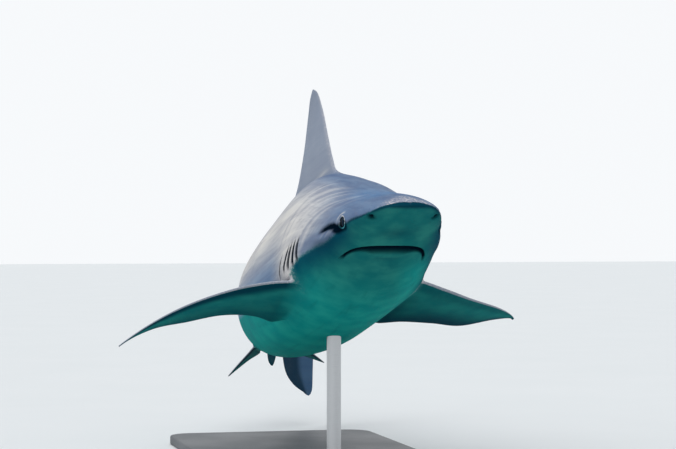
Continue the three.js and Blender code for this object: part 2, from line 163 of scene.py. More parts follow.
def background(shade, strength):
    """A plain sky of one colour."""
    node = sky.nodes.new("ShaderNodeBackground")
    node.inputs["Color"].default_value = shade
    node.inputs["Strength"].default_value = strength
    return node.outputs[0]


rays = sky.nodes.new("ShaderNodeLightPath")
is_seen = rays.outputs["Is Camera Ray"]
for kind in ("Is Glossy Ray", "Is Transmission Ray"):
    either = sky.nodes.new("ShaderNodeMath")
    either.use_clamp = True
    sky.links.new(is_seen, either.inputs[0])
    sky.links.new(rays.outputs[kind], either.inputs[1])
    is_seen = either.outputs[0]
choice = sky.nodes.new("ShaderNodeMixShader")
sky.links.new(is_seen, choice.inputs[0])
sky.links.new(background(LIT_COLOUR, SKY_LIGHT), choice.inputs[1])
sky.links.new(background(SEEN_COLOUR, 1.0), choice.inputs[2])
sky_out = sky.nodes.new("ShaderNodeOutputWorld")
sky.links.new(choice.outputs[0], sky_out.inputs[0])
print("sky", SKY_LIGHT)

# %% [markdown]
# Shader nodes are many small boxes joined by wires. They could be placed by hand in the
# shader editor, but here a helper adds one box at a time: its kind, what goes into its named
# sockets, and its settings. A socket takes a number or the output of another box, so a recipe
# reads from top to bottom.

# %% Shader helper
class Finish:
    """A material whose nodes are added one by one."""

    def __init__(self, name):
        self.material = bpy.data.materials.new(name)
        self.material.use_nodes = True
        self.tree = self.material.node_tree
        self.surface = self.tree.nodes["Principled BSDF"]

    def add(self, kind, inputs=None, output=0, **settings):
        node = self.tree.nodes.new("ShaderNode" + kind)
        for key, value in settings.items():
            setattr(node, key, value)
        self.fill(node, inputs or {})
        return node.outputs[output]

    def fill(self, node, inputs):
        for key, value in inputs.items():
            if isinstance(value, bpy.types.NodeSocket):
                self.tree.links.new(value, node.inputs[key])
            else:
                node.inputs[key].default_value = value

    def math(self, operation, a, b=0.0):
        return self.add("Math", {0: a, 1: b}, operation=operation)

    def times(self, first, *others):
        for other in others:
            first = self.math("MULTIPLY", first, other)
        return first

    def plus(self, a, b):
        return self.math("ADD", a, b)

    def minus(self, a, b):
        return self.math("SUBTRACT", a, b)

    def ramp(self, value, low, high, start=0.0, end=1.0):
        inputs = {0: value, 1: low, 2: high, 3: start, 4: end}
        return self.add("MapRange", inputs, interpolation_type="SMOOTHSTEP")

    def mix(self, factor, a, b):
        inputs = {0: factor, 6: a, 7: b}
        return self.add("Mix", inputs, output=2, data_type="RGBA")

    def mask(self, name):
        return self.add("Attribute", output="Fac", attribute_name=name)

    def noise(self, where, scale, detail=3.0, roughness=0.55):
        inputs = {"Vector": where, "Scale": scale, "Detail": detail, "Roughness": roughness}
        return self.add("TexNoise", inputs)

    def axes(self, vector):
        """The three numbers of a vector."""
        node = self.tree.nodes.new("ShaderNodeSeparateXYZ")
        self.tree.links.new(vector, node.inputs[0])
        return node.outputs[0], node.outputs[1], node.outputs[2]

    def length(self, a, b):
        """The length of the hypotenuse over the sides a and b."""
        return self.math("SQRT", self.plus(self.times(a, a), self.times(b, b)))

    def stretched(self, where, scale):
        return self.add("Mapping", {"Vector": where, "Scale": scale})

    def bump(self, height, distance, strength, under=None):
        inputs = {"Height": height, "Distance": distance, "Strength": strength}
        if under is not None:
            inputs["Normal"] = under
        return self.add("Bump", inputs)

    def finish(self, **inputs):
        self.fill(self.surface, {key.replace("_", " "): value for key, value in inputs.items()})
        return self.material


def colour(red, green, blue):
    """A colour given as it is seen, 0 to 255, turned into the light values Blender mixes."""
    seen = np.array([red, green, blue]) / 255
    light = np.where(seen <= 0.04045, seen / 12.92, ((seen + 0.055) / 1.055) ** 2.4)
    return (*[float(v) for v in light], 1.0)


print("a middle grey mixes as", round(colour(128, 128, 128)[0], 3))

# %% [markdown]
# The floor is one large sheet of pale studio paper. It only carries the model and catches
# its shadow, so it is marked as stage and isn't a part of the object. One face is enough for
# it, because paper lies flat.

# %% Floor
FLOOR_SIZE = 40.0
floor_mesh = bpy.data.meshes.new("floor")
edge = FLOOR_SIZE / 2
floor_corners = [(-edge, -edge, 0), (edge, -edge, 0), (edge, edge, 0), (-edge, edge, 0)]
floor_mesh.from_pydata(floor_corners, [], [(0, 1, 2, 3)])
floor = add_object("floor", floor_mesh)
paper = Finish("floor_paper")
where = paper.add("TexCoord", output="Object")
grain = paper.noise(where, 3.0)
tone = paper.mix(grain, colour(226, 230, 232), colour(231, 234, 236))
floor_mesh.materials.append(paper.finish(Base_Color=tone, Roughness=0.8))
floor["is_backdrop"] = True
print("floor", FLOOR_SIZE, "m")

# %% [markdown]
# Outlines and profiles are a few points with a smooth curve through them. Blender has curve
# objects for this, but here the curves are plain functions, because every row of the skin
# asks them for its own sizes. The cubic is the same as in the solids, so the skin follows them.

# %% Smooth curves
def cubic(s, start, end, leaving, arriving):
    """A cubic from start at s = 0 to end at s = 1, with its slope at either end."""
    return (
        (2 * s**3 - 3 * s**2 + 1) * start
        + (s**3 - 2 * s**2 + s) * leaving
        + (3 * s**2 - 2 * s**3) * end
        + (s**3 - s**2) * arriving
    )


def smooth_through(xs, ys):
    """The smooth curve through the points (xs, ys), as a function."""
    xs, ys = np.asarray(xs, float), np.asarray(ys, float)
    step = np.diff(xs)
    slope = np.diff(ys) / step
    inner = (slope[:-1] * step[1:] + slope[1:] * step[:-1]) / (step[:-1] + step[1:])
    tangent = np.concatenate([slope[:1], inner, slope[-1:]])

    def curve(x):
        x = np.asarray(x, float)
        i = np.clip(np.searchsorted(xs, x, side="right") - 1, 0, len(xs) - 2)
        s = (x - xs[i]) / step[i]
        return cubic(s, ys[i], ys[i + 1], step[i] * tangent[i], step[i] * tangent[i + 1])

    return curve


def smooth_path(points):
    """A smooth flat path through points, as a function of 0..1 along its length."""
    points = np.asarray(points, float)
    along = np.concatenate([[0], np.cumsum(np.hypot(*np.diff(points, axis=0).T))])
    first = smooth_through(along / along[-1], points[:, 0])
    second = smooth_through(along / along[-1], points[:, 1])
    return lambda u: np.stack([first(u), second(u)], -1)


def eased(x, low, high):
    """0 below low, 1 above high, and a soft step between."""
    s = np.clip((np.asarray(x, float) - low) / (high - low), 0, 1)
    return s * s * (3 - 2 * s)


def between(x, starts, full, fades, ends):
    """A soft stretch of x that comes in from starts to full and goes from fades to ends."""
    return eased(x, starts, full) * (1 - eased(x, fades, ends))


def bell(x, width):
    """1 at x = 0, falling softly to nothing at about twice the width."""
    return np.exp(-((np.asarray(x, float) / width) ** 2))


def unit(vectors):
    """Vectors of the same directions and of length 1."""
    return vectors / (np.linalg.norm(vectors, axis=-1, keepdims=True) + 1e-12)


print("a bell at half its width:", round(float(bell(0.5, 1)), 2))

# %% [markdown]
# The body is a tube. At each station it has a height of back and belly, a half width, and a
# fullness: 2 is an ellipse, more is boxier. A point of the skin is a distance from the snout
# and an angle from the top of the back, positive to the animal's left. A body could be
# sculpted by hand instead. Made from numbers it has true sizes, and any place on it, such as
# the eye's, can be found again by its distance and angle.

# %% Body sections
LENGTH = 1800.0
STATIONS = np.array([
    # y, back, belly, half width, widest height, upper fullness, lower fullness
    (0, 0, 0, 0, 0, 2.0, 2.2),
    (18, 12, -6, 44, -2, 1.9, 2.2),
    (63, 28, -22, 66.5, -7, 1.85, 2.5),
    (135, 44, -45, 84, -6, 1.9, 2.45),
    (207, 59, -73, 98, -10, 1.95, 2.1),
    (288, 84, -99, 109, -13, 2.0, 2.1),
    (405, 125.5, -117, 120, -18, 2.0, 2.1),
    (558, 166, -129, 112, -14, 1.95, 2.35),
    (720, 147, -132, 108, -11, 1.95, 2.4),
    (900, 124, -122, 88, -5, 2.0, 2.2),
    (1080, 100, -85, 64, 5, 2.0, 2.0),
    (1224, 80, -44, 43, 18, 2.0, 2.0),
    (1323, 67, -22, 32, 23, 2.0, 2.0),
])
BODY_END = STATIONS[-1, 0]
station_roots = np.sqrt(STATIONS[:, 0])
section_curves = [smooth_through(station_roots, STATIONS[:, k]) for k in range(1, 7)]


def section(y):
    """Back, belly, half width, widest height, upper and lower fullness at y."""
    return [curve(np.sqrt(np.clip(y, 0, BODY_END))) for curve in section_curves]


def half_section(y, is_upper):
    """Half width, widest height, reach and fullness of the upper or the lower half at y."""
    back, belly, half_width, widest, upper, lower = section(y)
    reach = np.where(is_upper, back - widest, widest - belly)
    return half_width, widest, reach, np.where(is_upper, upper, lower)


def widest_height(y):
    """How high the widest place of the section at y lies."""
    return section(y)[3]


def body_point(y, angle):
    """The point of the body at y and at an angle from the top of the back."""
    sine, cosine = np.sin(np.radians(angle)), np.cos(np.radians(angle))
    half_width, widest, reach, fullness = half_section(y, cosine >= 0)
    power = 2 / fullness
    x = half_width * np.sign(sine) * np.abs(sine) ** power
    z = widest + reach * np.sign(cosine) * np.abs(cosine) ** power
    return np.stack(np.broadcast_arrays(x, y, z), -1).astype(float)


def body_angle(x, y, z):
    """The angle at which the point (x, z) stands round the body at y."""
    half_width, widest, reach, fullness = half_section(y, z >= widest_height(y))
    across = np.abs(x / half_width) ** (fullness / 2)
    upward = np.sign(z - widest) * np.abs((z - widest) / reach) ** (fullness / 2)
    return np.degrees(np.arctan2(across, upward)) * np.where(x < 0, -1, 1)


def is_outside(points, grow):
    """Whether points lie outside the body made larger by grow."""
    x, y, z = np.moveaxis(points, -1, 0)
    half_width, widest, reach, fullness = half_section(y, z >= widest_height(y))
    across = np.abs(x / (half_width + grow)) ** fullness
    return across + np.abs((z - widest) / (reach + grow)) ** fullness > 1


print("half width at the pectoral fins:", round(float(section(405)[2])), "mm")

# %% [markdown]
# The pose. The backbone bends to the left towards the tail. Its heading is its curvature
# added up step by step. The snout dips, the tail rises, and the whole body is nose up and
# a little banked, over the middle of the stand. The head is rolled the other way, so that it
# stays level. An armature with weights could bend a finished mesh, but it pinches the inside
# of a bend. A function of the distance from the snout carries every point smoothly, and skin
# and eyes stay together.

# %% Pose values
BEND = np.array([
    # share of the length, and the bend there in radians over one length of the body
    (0, 0.94), (0.2, -0.75), (0.45, 0.26), (0.55, 1.34),
    (0.63, 3.0), (0.72, 3.35), (0.85, 1.9), (1, 1.6),
])
SNOUT_DROP, SNOUT_FROM = 24.0, 540.0
TAIL_LIFT, TAIL_FROM, TAIL_TO = 49.0, 630.0, 1260.0
HEAD_ROLL, ROLL_WHOLE, ROLL_NONE, ROLL_HEIGHT = math.radians(4), 60.0, 340.0, -10.0
PITCH, BANK = math.radians(13.1), math.radians(3.9)
STAND_CENTRE = 690.0
BASE_HEIGHT, TAIL_CLEARANCE = 18.0, 52.0
TAIL_LOWER = [
    # y, z along the lower margin of the tail fin, from the body to the tip of the upper lobe
    (1323, -22), (1325, -80), (1349, -129), (1386, -154), (1434, -172), (1472, -181), (1478, -174),
    (1453, -108), (1468, -40), (1556, 56), (1655, 144), (1706, 182), (1717, 208),
    (1752, 214), (1788, 246), (1797, 267),
]
print("nose up", round(math.degrees(PITCH), 1), "degrees, banked", round(math.degrees(BANK), 1))

# %% Pose
SPINE_STEP, PAST_TAIL = 5.0, 40.0


def added_up(steps):
    """Running totals, from 0."""
    return np.concatenate([[0], np.cumsum(steps)])


spine_y = np.arange(0, LENGTH + PAST_TAIL, SPINE_STEP)
spine_share = (spine_y[:-1] + SPINE_STEP / 2) / LENGTH
spine_heading = added_up(np.interp(spine_share, *BEND.T) / LENGTH * SPINE_STEP)
spine_middle = (spine_heading[1:] + spine_heading[:-1]) / 2
spine_x = added_up(np.sin(spine_middle) * SPINE_STEP)
spine_ahead = added_up(np.cos(spine_middle) * SPINE_STEP)


def bent(points):
    """Points of the straight frame, carried to the bent body."""
    x, y, z = np.moveaxis(np.asarray(points, float), -1, 0)
    roll = HEAD_ROLL * (1 - eased(y, ROLL_WHOLE, ROLL_NONE))
    above = z - ROLL_HEIGHT
    rolled_x = x * np.cos(roll) - above * np.sin(roll)
    rolled_z = ROLL_HEIGHT + above * np.cos(roll) + x * np.sin(roll)
    heading = np.interp(y, spine_y, spine_heading)
    dip = np.maximum(0, (SNOUT_FROM - y) / SNOUT_FROM)
    climb = np.maximum(0, (y - TAIL_FROM) / (TAIL_TO - TAIL_FROM))
    rise = TAIL_LIFT * np.where(climb < 1, climb**2, 2 * climb - 1) - SNOUT_DROP * dip**2
    bent_x = np.interp(y, spine_y, spine_x) + rolled_x * np.cos(heading)
    bent_y = np.interp(y, spine_y, spine_ahead) + np.minimum(y, 0) - rolled_x * np.sin(heading)
    return np.stack([bent_x, bent_y, rolled_z + rise], -1)


def turn_matrix():
    """The rotation that lifts the nose and then banks the body."""
    cp, sp, cb, sb = math.cos(PITCH), math.sin(PITCH), math.cos(BANK), math.sin(BANK)
    nose_up = np.array([[1, 0, 0], [0, cp, sp], [0, -sp, cp]])
    roll = np.array([[cb, 0, sb], [0, 1, 0], [-sb, 0, cb]])
    return roll @ nose_up


TURN = turn_matrix()
over_base = bent([0, STAND_CENTRE, 0]) @ TURN.T
lowest_tail = (bent([(0, y, z) for y, z in TAIL_LOWER]) @ TURN.T)[:, 2].min()
SHIFT = np.array([-over_base[0], -over_base[1], BASE_HEIGHT + TAIL_CLEARANCE - lowest_tail])


def posed(points):
    """Millimetres of the straight frame to metres in the room."""
    return (bent(points) @ TURN.T + SHIFT) / 1000


print("snout tip at", np.round(posed([0, 0, 0]), 3))
print("tail tip at", np.round(posed([0, *TAIL_LOWER[-1]]), 3))

# %% [markdown]
# Fins are blades. Each has a front margin and a rear margin from its root to its tip, and is
# thickest a third of the way across. u runs from root to tip, v from the front margin to the
# rear one, and side is 1 or -1 for its two faces. A flat outline with a Solidify modifier
# would be quicker, but it gives a slab with square edges.

# %% Fin shapes
DORSAL = dict(
    at=(-8, 527, 158), thickness=17, lean=math.radians(1.5), curl=0.27 / 1000, fillet=13,
    front=[(-50, -14), (-14, 6), (18, 40), (56, 86), (131, 170), (196, 221), (220, 231)],
    rear=[(196, -34), (232, -6), (286, 2), (252, 44), (229, 108), (230, 180), (233, 222), (228, 231)],
)
DORSAL_2 = dict(
    at=(0, 1134, 92), thickness=7, lean=0, curl=0, fillet=5,
    front=[(-6, -16), (10, 10), (38, 38), (66, 52)],
    rear=[(76, -18), (98, -4), (136, 2), (106, 20), (84, 40), (78, 51)],
)
ANAL = dict(
    at=(0, 1146, -62), thickness=7, lean=0, curl=0, fillet=5,
    front=[(-34, -24), (-16, 4), (14, 30), (48, 47), (90, 56)],
    rear=[(104, -40), (124, -26), (152, -14), (144, 12), (134, 36), (120, 50), (106, 56)],
)
PECTORAL = dict(
    at=(114, 400, -65), thickness=19, curl_span=306, fillet=13,
    front=[(-4, -40), (0, 0), (30, 68), (67, 124), (141, 220), (213, 282), (235, 297)],
    rear=[
        (120, -40), (150, -6), (228, 4), (203, 46), (199, 104), (217, 172), (207, 236), (227, 285),
        (242, 296),
    ],
    right=dict(droop=-5.5, sweep=8, curl=38, twist=8, lift=-3),
    left=dict(droop=4.4, sweep=4, curl=-27, twist=9.5, lift=13.5),
)
PELVIC = dict(
    at=(46, 918, -92), thickness=9, curl_span=90, fillet=6,
    front=[(-6, -22), (0, 0), (30, 34), (62, 68), (78, 82)],
    rear=[(84, -22), (100, -2), (138, 6), (108, 32), (93, 62), (85, 82)],
    right=dict(droop=42, sweep=17, curl=0, twist=14, lift=-1),
    left=dict(droop=18, sweep=12, curl=0, twist=2, lift=-3),
)
print("fin spans:", [fin["rear"][-1][1] for fin in (DORSAL, DORSAL_2, ANAL, PECTORAL, PELVIC)], "mm")

# %% [markdown]
# Across, a fin is a wing: thickest a third of the way back and thin behind. The curve of the
# section is the one that simple aeroplane wings use. A small edge thickness is added to it,
# so that the margins are round and never sharp as a knife.

# %% Blade of a fin
EDGE = 0.6
TIP_THINNING = 0.85
EDGE_ROUNDNESS = 0.3


def wing_section(v):
    """How thick a wing is at v, from the front margin (0) to the rear one (1): 0.5 at most."""
    return 1.4845 * np.sqrt(v) - 0.63 * v - 1.758 * v**2 + 1.4215 * v**3 - 0.5075 * v**4


def edge_thickness(v):
    """The edge's own thickness at v, rounded off at both margins."""
    return EDGE * np.clip(np.sin(np.pi * v), 0, 1) ** EDGE_ROUNDNESS


def blade(fin, u, v, side):
    """Rearward, outward and sideways distance of a point of a flat fin."""
    front, rear = smooth_path(fin["front"])(u), smooth_path(fin["rear"])(u)
    half = fin["thickness"] / 2 * np.clip(1 - u, 0, 1) ** TIP_THINNING + EDGE
    thick = half * wing_section(v) + edge_thickness(v)
    flat = front + (rear - front) * v[..., None]
    return flat[..., 0], flat[..., 1], side * thick


shares = np.linspace(0, 1, 101)
print("a blade is thickest at", shares[wing_section(shares).argmax()], "of its width")


# %% Fins of the middle line
def median_fin(fin, up):
    """A fin of the middle line, above the body (up = 1) or below it (up = -1)."""

    def surface(u, v, side):
        rearward, outward, sideways = blade(fin, u, v, side)
        lean = outward * math.sin(fin["lean"]) + fin["curl"] * np.maximum(0, outward) ** 2
        x = fin["at"][0] + sideways + lean
        return np.stack([x, fin["at"][1] + rearward, fin["at"][2] + up * outward], -1)

    return surface


tip_of = {name: round(fin["at"][2] + up * fin["rear"][-1][1]) for name, fin, up in (
    ("dorsal", DORSAL, 1), ("second dorsal", DORSAL_2, 1), ("anal", ANAL, -1),
)}
print("heights of the tips:", tip_of)

# %% Paired fins
def paired_fin(fin, name):
    """A fin of one side. It droops, sweeps back, curls along its span and twists nose up."""
    sign = 1 if name == "left" else -1
    turns = (math.radians(fin[name][key]) for key in ("droop", "sweep", "curl", "twist"))
    droop, sweep, curl, twist = turns
    rate = curl / fin["curl_span"]
    root_height = fin["at"][2] + fin[name]["lift"]

    def surface(u, v, side):
        rearward, outward, sideways = blade(fin, u, v, side)
        back = rearward * math.cos(sweep) + outward * math.sin(sweep)
        span = outward * math.cos(sweep) - rearward * math.sin(sweep)
        angle = droop + rate * np.maximum(0, span)
        across, down = math.cos(droop) * span, math.sin(droop) * span
        if rate:
            # Outside the root the span follows an arc.
            on_arc = (np.sin(angle) - math.sin(droop)) / rate
            below = (math.cos(droop) - np.cos(angle)) / rate
            across, down = np.where(span < 0, across, on_arc), np.where(span < 0, down, below)
        x = sign * (fin["at"][0] + across + sideways * np.sin(angle))
        y = fin["at"][1] + back * math.cos(twist)
        z = root_height - down + sideways * np.cos(angle) - back * math.sin(twist)
        return np.stack([x, y, z], -1)

    return surface


ROOT_SHARE, ROOT_STEPS = 0.6, 600


def root_ends(surface):
    """Where the front and rear margins of a fin come out of the body: (y, angle) of each."""
    u = np.linspace(0, ROOT_SHARE, ROOT_STEPS)
    ends = []
    for v in (0.0, 1.0):
        points = surface(u, np.full_like(u, v), 0)
        first = points[np.argmax(is_outside(points, 0))]
        ends.append((first[1], float(body_angle(*first))))
    return ends


FINS = {
    "dorsal": (DORSAL, median_fin(DORSAL, 1)),
    "dorsal_2": (DORSAL_2, median_fin(DORSAL_2, 1)),
    "anal": (ANAL, median_fin(ANAL, -1)),
    "pectoral_left": (PECTORAL, paired_fin(PECTORAL, "left")),
    "pectoral_right": (PECTORAL, paired_fin(PECTORAL, "right")),
    "pelvic_left": (PELVIC, paired_fin(PELVIC, "left")),
    "pelvic_right": (PELVIC, paired_fin(PELVIC, "right")),
}
ROOTS = {name: root_ends(surface) for name, (_, surface) in FINS.items()}
for name, ends in ROOTS.items():
    print(name, "root", [(round(y), round(a, 1)) for y, a in ends])

# %% [markdown]
# The skin is one closed net of four-sided faces: rows round the body, columns along it. Rows
# are close together where there is fine detail: at the mouth, at the gills, and under fins.
# Four of the columns on each side are rails. They run along the edges of the places where
# fins grow out, so that a rectangle of faces can be taken out there and a fin joined in. A
# Boolean would join them with a hard crease, and a voxel remesh would blur the fine slits.

# %% Rows
MOUTH = dict(front=134.5, corner=209.0, half_angle=46.2, power=4.1)
GILLS = dict(
    first=356.0, fourth=418.0, last=490.0, count=5, low=-54.0, lean=-0.38, lean_run=(70, 8, 8, 90),
)
close_gills = np.linspace(GILLS["first"], GILLS["fourth"], GILLS["count"] - 1)
gill_places = np.append(close_gills, GILLS["last"])
FIRST_ROW = 0.05
PLAIN_SPACING = np.array([
    # y, spacing of the rows
    (0, 2.7), (60, 3.3), (300, 3.6), (450, 4.2), (520, 6), (780, 6), (830, 9), (1120, 6.5), (1323, 6),
])


def row_spacing(y):
    """The smallest of the plain spacing and the finer ones near the details."""
    plain = np.interp(y, *PLAIN_SPACING.T)
    # The finest spacing at a detail, and its growth for each mm away from it.
    mouth = 0.5 + 0.16 * abs(y - MOUTH["corner"])
    gill = 0.8 + 0.3 * np.abs(y - gill_places).min()
    tip = FIRST_ROW + 0.5 * math.sqrt(y)
    return min(plain, mouth, gill, tip)


row_list = [FIRST_ROW]
while row_list[-1] < BODY_END:
    row_list.append(row_list[-1] + row_spacing(row_list[-1]))
row_places = np.array(row_list) * BODY_END / row_list[-1]
print("rows along the body:", len(row_places))

# %% Columns
SIDE_COLUMNS = 90
RAILS = [0, 4, 41, 49, 86, 90]
EYE = dict(y=126.0, angle=91.0, radius=15.0, sunk=14.0)
RAIL_WIDTH = 8.0


def rail_middle(side):
    """The angle midway between the two flank rails, along the body, for one side."""
    pectoral, pelvic = ROOTS["pectoral_" + side], ROOTS["pelvic_" + side]
    knots = [(0, 90), (EYE["y"], EYE["angle"]), (300, 104)]
    knots += [(y, abs(angle)) for y, angle in pectoral + pelvic]
    knots += [(1180, 100), (BODY_END, 90)]
    return smooth_through(*zip(*knots))


def half_columns(side):
    """Angles of the columns of one side at each row, from the back to the belly."""
    middle = rail_middle(side)(row_places)
    rails = [0 * middle, 0 * middle + RAIL_WIDTH, middle - RAIL_WIDTH, middle + RAIL_WIDTH]
    rails += [180 - RAIL_WIDTH + 0 * middle, 180 + 0 * middle]
    columns = np.arange(SIDE_COLUMNS + 1)
    return np.array([np.interp(columns, RAILS, row) for row in np.array(rails).T])


left, right = half_columns("left"), half_columns("right")
angle_grid = np.concatenate([left, -right[:, -2:0:-1]], axis=1)
COLUMNS = angle_grid.shape[1]
y_grid = np.repeat(row_places[:, None], COLUMNS, axis=1)
print("columns round the body:", COLUMNS)

# %% [markdown]
# The net is then drawn towards its finest details, like cloth pulled together by a thread:
# rows swing forward to run along the mouth, lean back along the gill slits, and crowd in
# round the eyes and nostrils. Only where the net is sampled changes, not the shape. A finer
# net all over would also show these details, with many times the faces.

# %% Pull towards a place
NOSTRIL = dict(
    y=46.0, angle=122.5, length=6.2, width=4.6, depth=6.0, flap=1.7, rim=0.6, slant=(-0.40, 0.62, -0.66),
)
DRAWN_TO = [
    # y, angle, reach in mm, pull: the corner of the mouth, the eye and the nostril
    (190, 136, 40, 0.5),
    (EYE["y"], EYE["angle"], 42, 0.3),
    (NOSTRIL["y"], NOSTRIL["angle"], 17, 0.4),
]


def drawn_in(y, angle, centre_y, centre_angle, reach, pull):
    """Draws the net towards a place on the skin, most at the place itself."""
    away = body_point(y, angle) - body_point(centre_y, centre_angle)
    far = np.linalg.norm(away, axis=-1) / reach
    share = 1 - (1 - pull) * np.where(far < 1, (1 - far**2) ** 2, 0)
    return centre_y + (y - centre_y) * share, centre_angle + (angle - centre_angle) * share


print("the net is drawn to", 2 * len(DRAWN_TO), "places")

# %% Net drawn to the details
SWING_STARTS, SWING_FULL, SWING_FADES, SWING_ENDS = 8, 14, 36, 322
GILL_TOP, BACK_HEIGHT = 20, 60


def mouth_row(angle):
    """y of the row that follows the mouth's edge."""
    off_middle = np.clip((180 - np.abs(angle)) / MOUTH["half_angle"], 0, 1)
    return MOUTH["front"] + (MOUTH["corner"] - MOUTH["front"]) * off_middle ** MOUTH["power"]


def lean_share(y, height):
    """How far rows lean with the gill slits: doubly by the last, and not at all on the back."""
    first, last = GILLS["first"], GILLS["last"]
    starts, full, fades, ends = GILLS["lean_run"]
    share = between(y, first - starts, first - full, last + fades, last + ends)
    share = share * (1 + eased(y, GILLS["fourth"] + 6, last - 30))
    return share * (1 - eased(height, 0, BACK_HEIGHT))


def gill_lean(height):
    """How far behind its lower end a slit lies at a height."""
    return GILLS["lean"] * (np.clip(height, GILLS["low"], GILL_TOP) - GILLS["low"])


corner = MOUTH["corner"]
swing = between(y_grid, SWING_STARTS, corner - SWING_FULL, corner + SWING_FADES, SWING_ENDS)
mouth_shift = (mouth_row(angle_grid) - corner) * swing
heights = body_point(y_grid, angle_grid)[..., 2]
y_grid = y_grid + mouth_shift + gill_lean(heights) * lean_share(y_grid, heights)
for sign in (1, -1):
    for detail_y, detail_angle, reach, pull in DRAWN_TO:
        centre_angle = sign * detail_angle
        y_grid, angle_grid = drawn_in(y_grid, angle_grid, detail_y, centre_angle, reach, pull)
base = body_point(y_grid, angle_grid)


def net_normals(points):
    """Outward directions of a net of points."""
    along = np.gradient(points, axis=0)
    round_body = (np.roll(points, -1, 1) - np.roll(points, 1, 1)) / 2
    normal = unit(np.cross(along, round_body))
    above_widest = points[..., 2] - widest_height(points[..., 1])
    outward = normal[..., 0] * points[..., 0] + normal[..., 2] * above_widest
    return normal * np.where(outward < 0, -1, 1)[..., None]


normals = net_normals(base)
print("net:", base.shape[0], "x", base.shape[1])

# %% [markdown]
# Now the face is pressed into the net. Each detail is a small height field: how far the skin
# is pushed out (or in, below zero) along its own normal. A bump in the material would be
# cheaper, but slits and lids need true depth, or they cast no shadow and vanish from the side.
# Masks are filled at the same time. They tell the material where painted shade darkens the
# hollows, where the skin is pale or carries a painted highlight, and where it is dusky or lies
# in painted shade. From here on, places and widths along the body and heights are in
# millimetres of the straight frame, and a flank value is in degrees from the top of the back.

# %% Height and masks
x_grid, z_grid = base[..., 0], base[..., 2]
side_grid = np.where(x_grid < 0, -1, 1)
flank = np.abs(angle_grid)
push = np.zeros_like(y_grid)
painted = {name: np.zeros_like(push) for name in ("painted_recess_shade", "pale", "dusk")}


def paint(name, values):
    """Raises a mask to the given values, where it is lower than they are."""
    painted[name] = np.maximum(painted[name], values)


print("masks to fill:", list(painted))

# %% [markdown]
# The mouth is an arch under the snout: flat in the middle and steep at its corners. The upper
# lip hangs over it, and the lower jaw is set back in the lip's shadow. The skin drops away
# behind the lip's edge and eases out again. Everything is measured from the arch itself.

# %% Mouth arch
ARCH = dict(front=133.0, corner=208.0, half_angle=45.6, across_power=2.4, back_power=2.2)
ARCH_STEPS = 60


def arch_y(off):
    """y of the arch, for a share of the way from the middle (0) to a corner (1)."""
    bow = (1 - np.clip(off, 0, 1) ** ARCH["across_power"]) ** (1 / ARCH["back_power"])
    return ARCH["corner"] - (ARCH["corner"] - ARCH["front"]) * bow


arch_off = np.sin(np.linspace(0, math.pi / 2, ARCH_STEPS + 1))
arch = body_point(arch_y(arch_off), 180 - ARCH["half_angle"] * arch_off)
print("mouth:", round(2 * arch[-1][0]), "mm wide")


def from_arch(points):
    """For each point of the skin: distance to the arch, and the nearest off and y on it."""
    nearest = np.full(points.shape[:-1], np.inf)
    off, near_y = np.zeros_like(nearest), np.zeros_like(nearest)
    for i in range(ARCH_STEPS):
        step = arch[i + 1] - arch[i]
        t = np.clip(((points - arch[i]) @ step) / (step @ step), 0, 1)
        far = np.linalg.norm(points - arch[i] - t[..., None] * step, axis=-1)
        closer = far < nearest
        nearest = np.where(closer, far, nearest)
        off = np.where(closer, arch_off[i] + t * (arch_off[i + 1] - arch_off[i]), off)
        near_y = np.where(closer, arch[i][1] + t * step[1], near_y)
    return nearest, off, near_y


def edge_flap(behind, ahead, width, drop):
    """A swelling of the skin ahead of an edge, cut off softly within drop behind the edge."""
    cut_off = bell(ahead, width) * (1 - eased(behind, 0, drop))
    return np.where(behind < 0, bell(behind + ahead, width), cut_off)


# %% Mouth
LIP_SWELL, LIP_AHEAD, LIP_WIDTH = 1.8, 4.0, 7.0
LOWER_LIP, LOWER_LIP_WIDTH = 1.5, 9.0
MOUTH_DEPTH, JAW_SET_BACK = 12.0, 27.0
CHIN_FOLD = dict(behind=47.0, width=5.0, depth=1.8)
to_arch, near_off, near_y = from_arch(np.stack([np.abs(x_grid), y_grid, z_grid], -1))
off_share = (180 - flank) / ARCH["half_angle"]
inside = (off_share < 1) & (y_grid > arch_y(off_share))
behind = np.where(inside, to_arch, -to_arch)
ends = 1 - eased(near_y, ARCH["corner"] - 10, ARCH["corner"])
centred = eased(1 - near_off, 0.0, 0.56)
reach = JAW_SET_BACK * (0.24 + 0.76 * centred)
depth = MOUTH_DEPTH * (0.30 + 0.70 * centred)
cavity = between(behind, 0.0, 1.8, 2.0, reach)
lip = edge_flap(behind, LIP_AHEAD, LIP_WIDTH, 2.0)
lower_lip = bell(behind - reach, LOWER_LIP_WIDTH) * centred
push += ends * (LIP_SWELL * lip * (0.4 + 0.6 * centred) - depth * cavity + LOWER_LIP * lower_lip)
chin_line = centred * bell(behind - CHIN_FOLD["behind"], CHIN_FOLD["width"])
push -= CHIN_FOLD["depth"] * chin_line
# Painted shade darkens the chin fold.
paint("dusk", 0.26 * chin_line)
# Painted shadow darkens the mouth under the upper lip.
paint("painted_recess_shade", ends**0.5 * between(behind, -0.3, 0.9, 0.60 * reach, 1.16 * reach))
print("mouth deepest:", round(float(-push.min()), 1), "mm")

# %% [markdown]
# Each nostril is a slanting slit under the rim of the snout, with a small flap of skin that
# hangs over it from the front. It is measured along and across its own slant, so one recipe
# serves both sides.

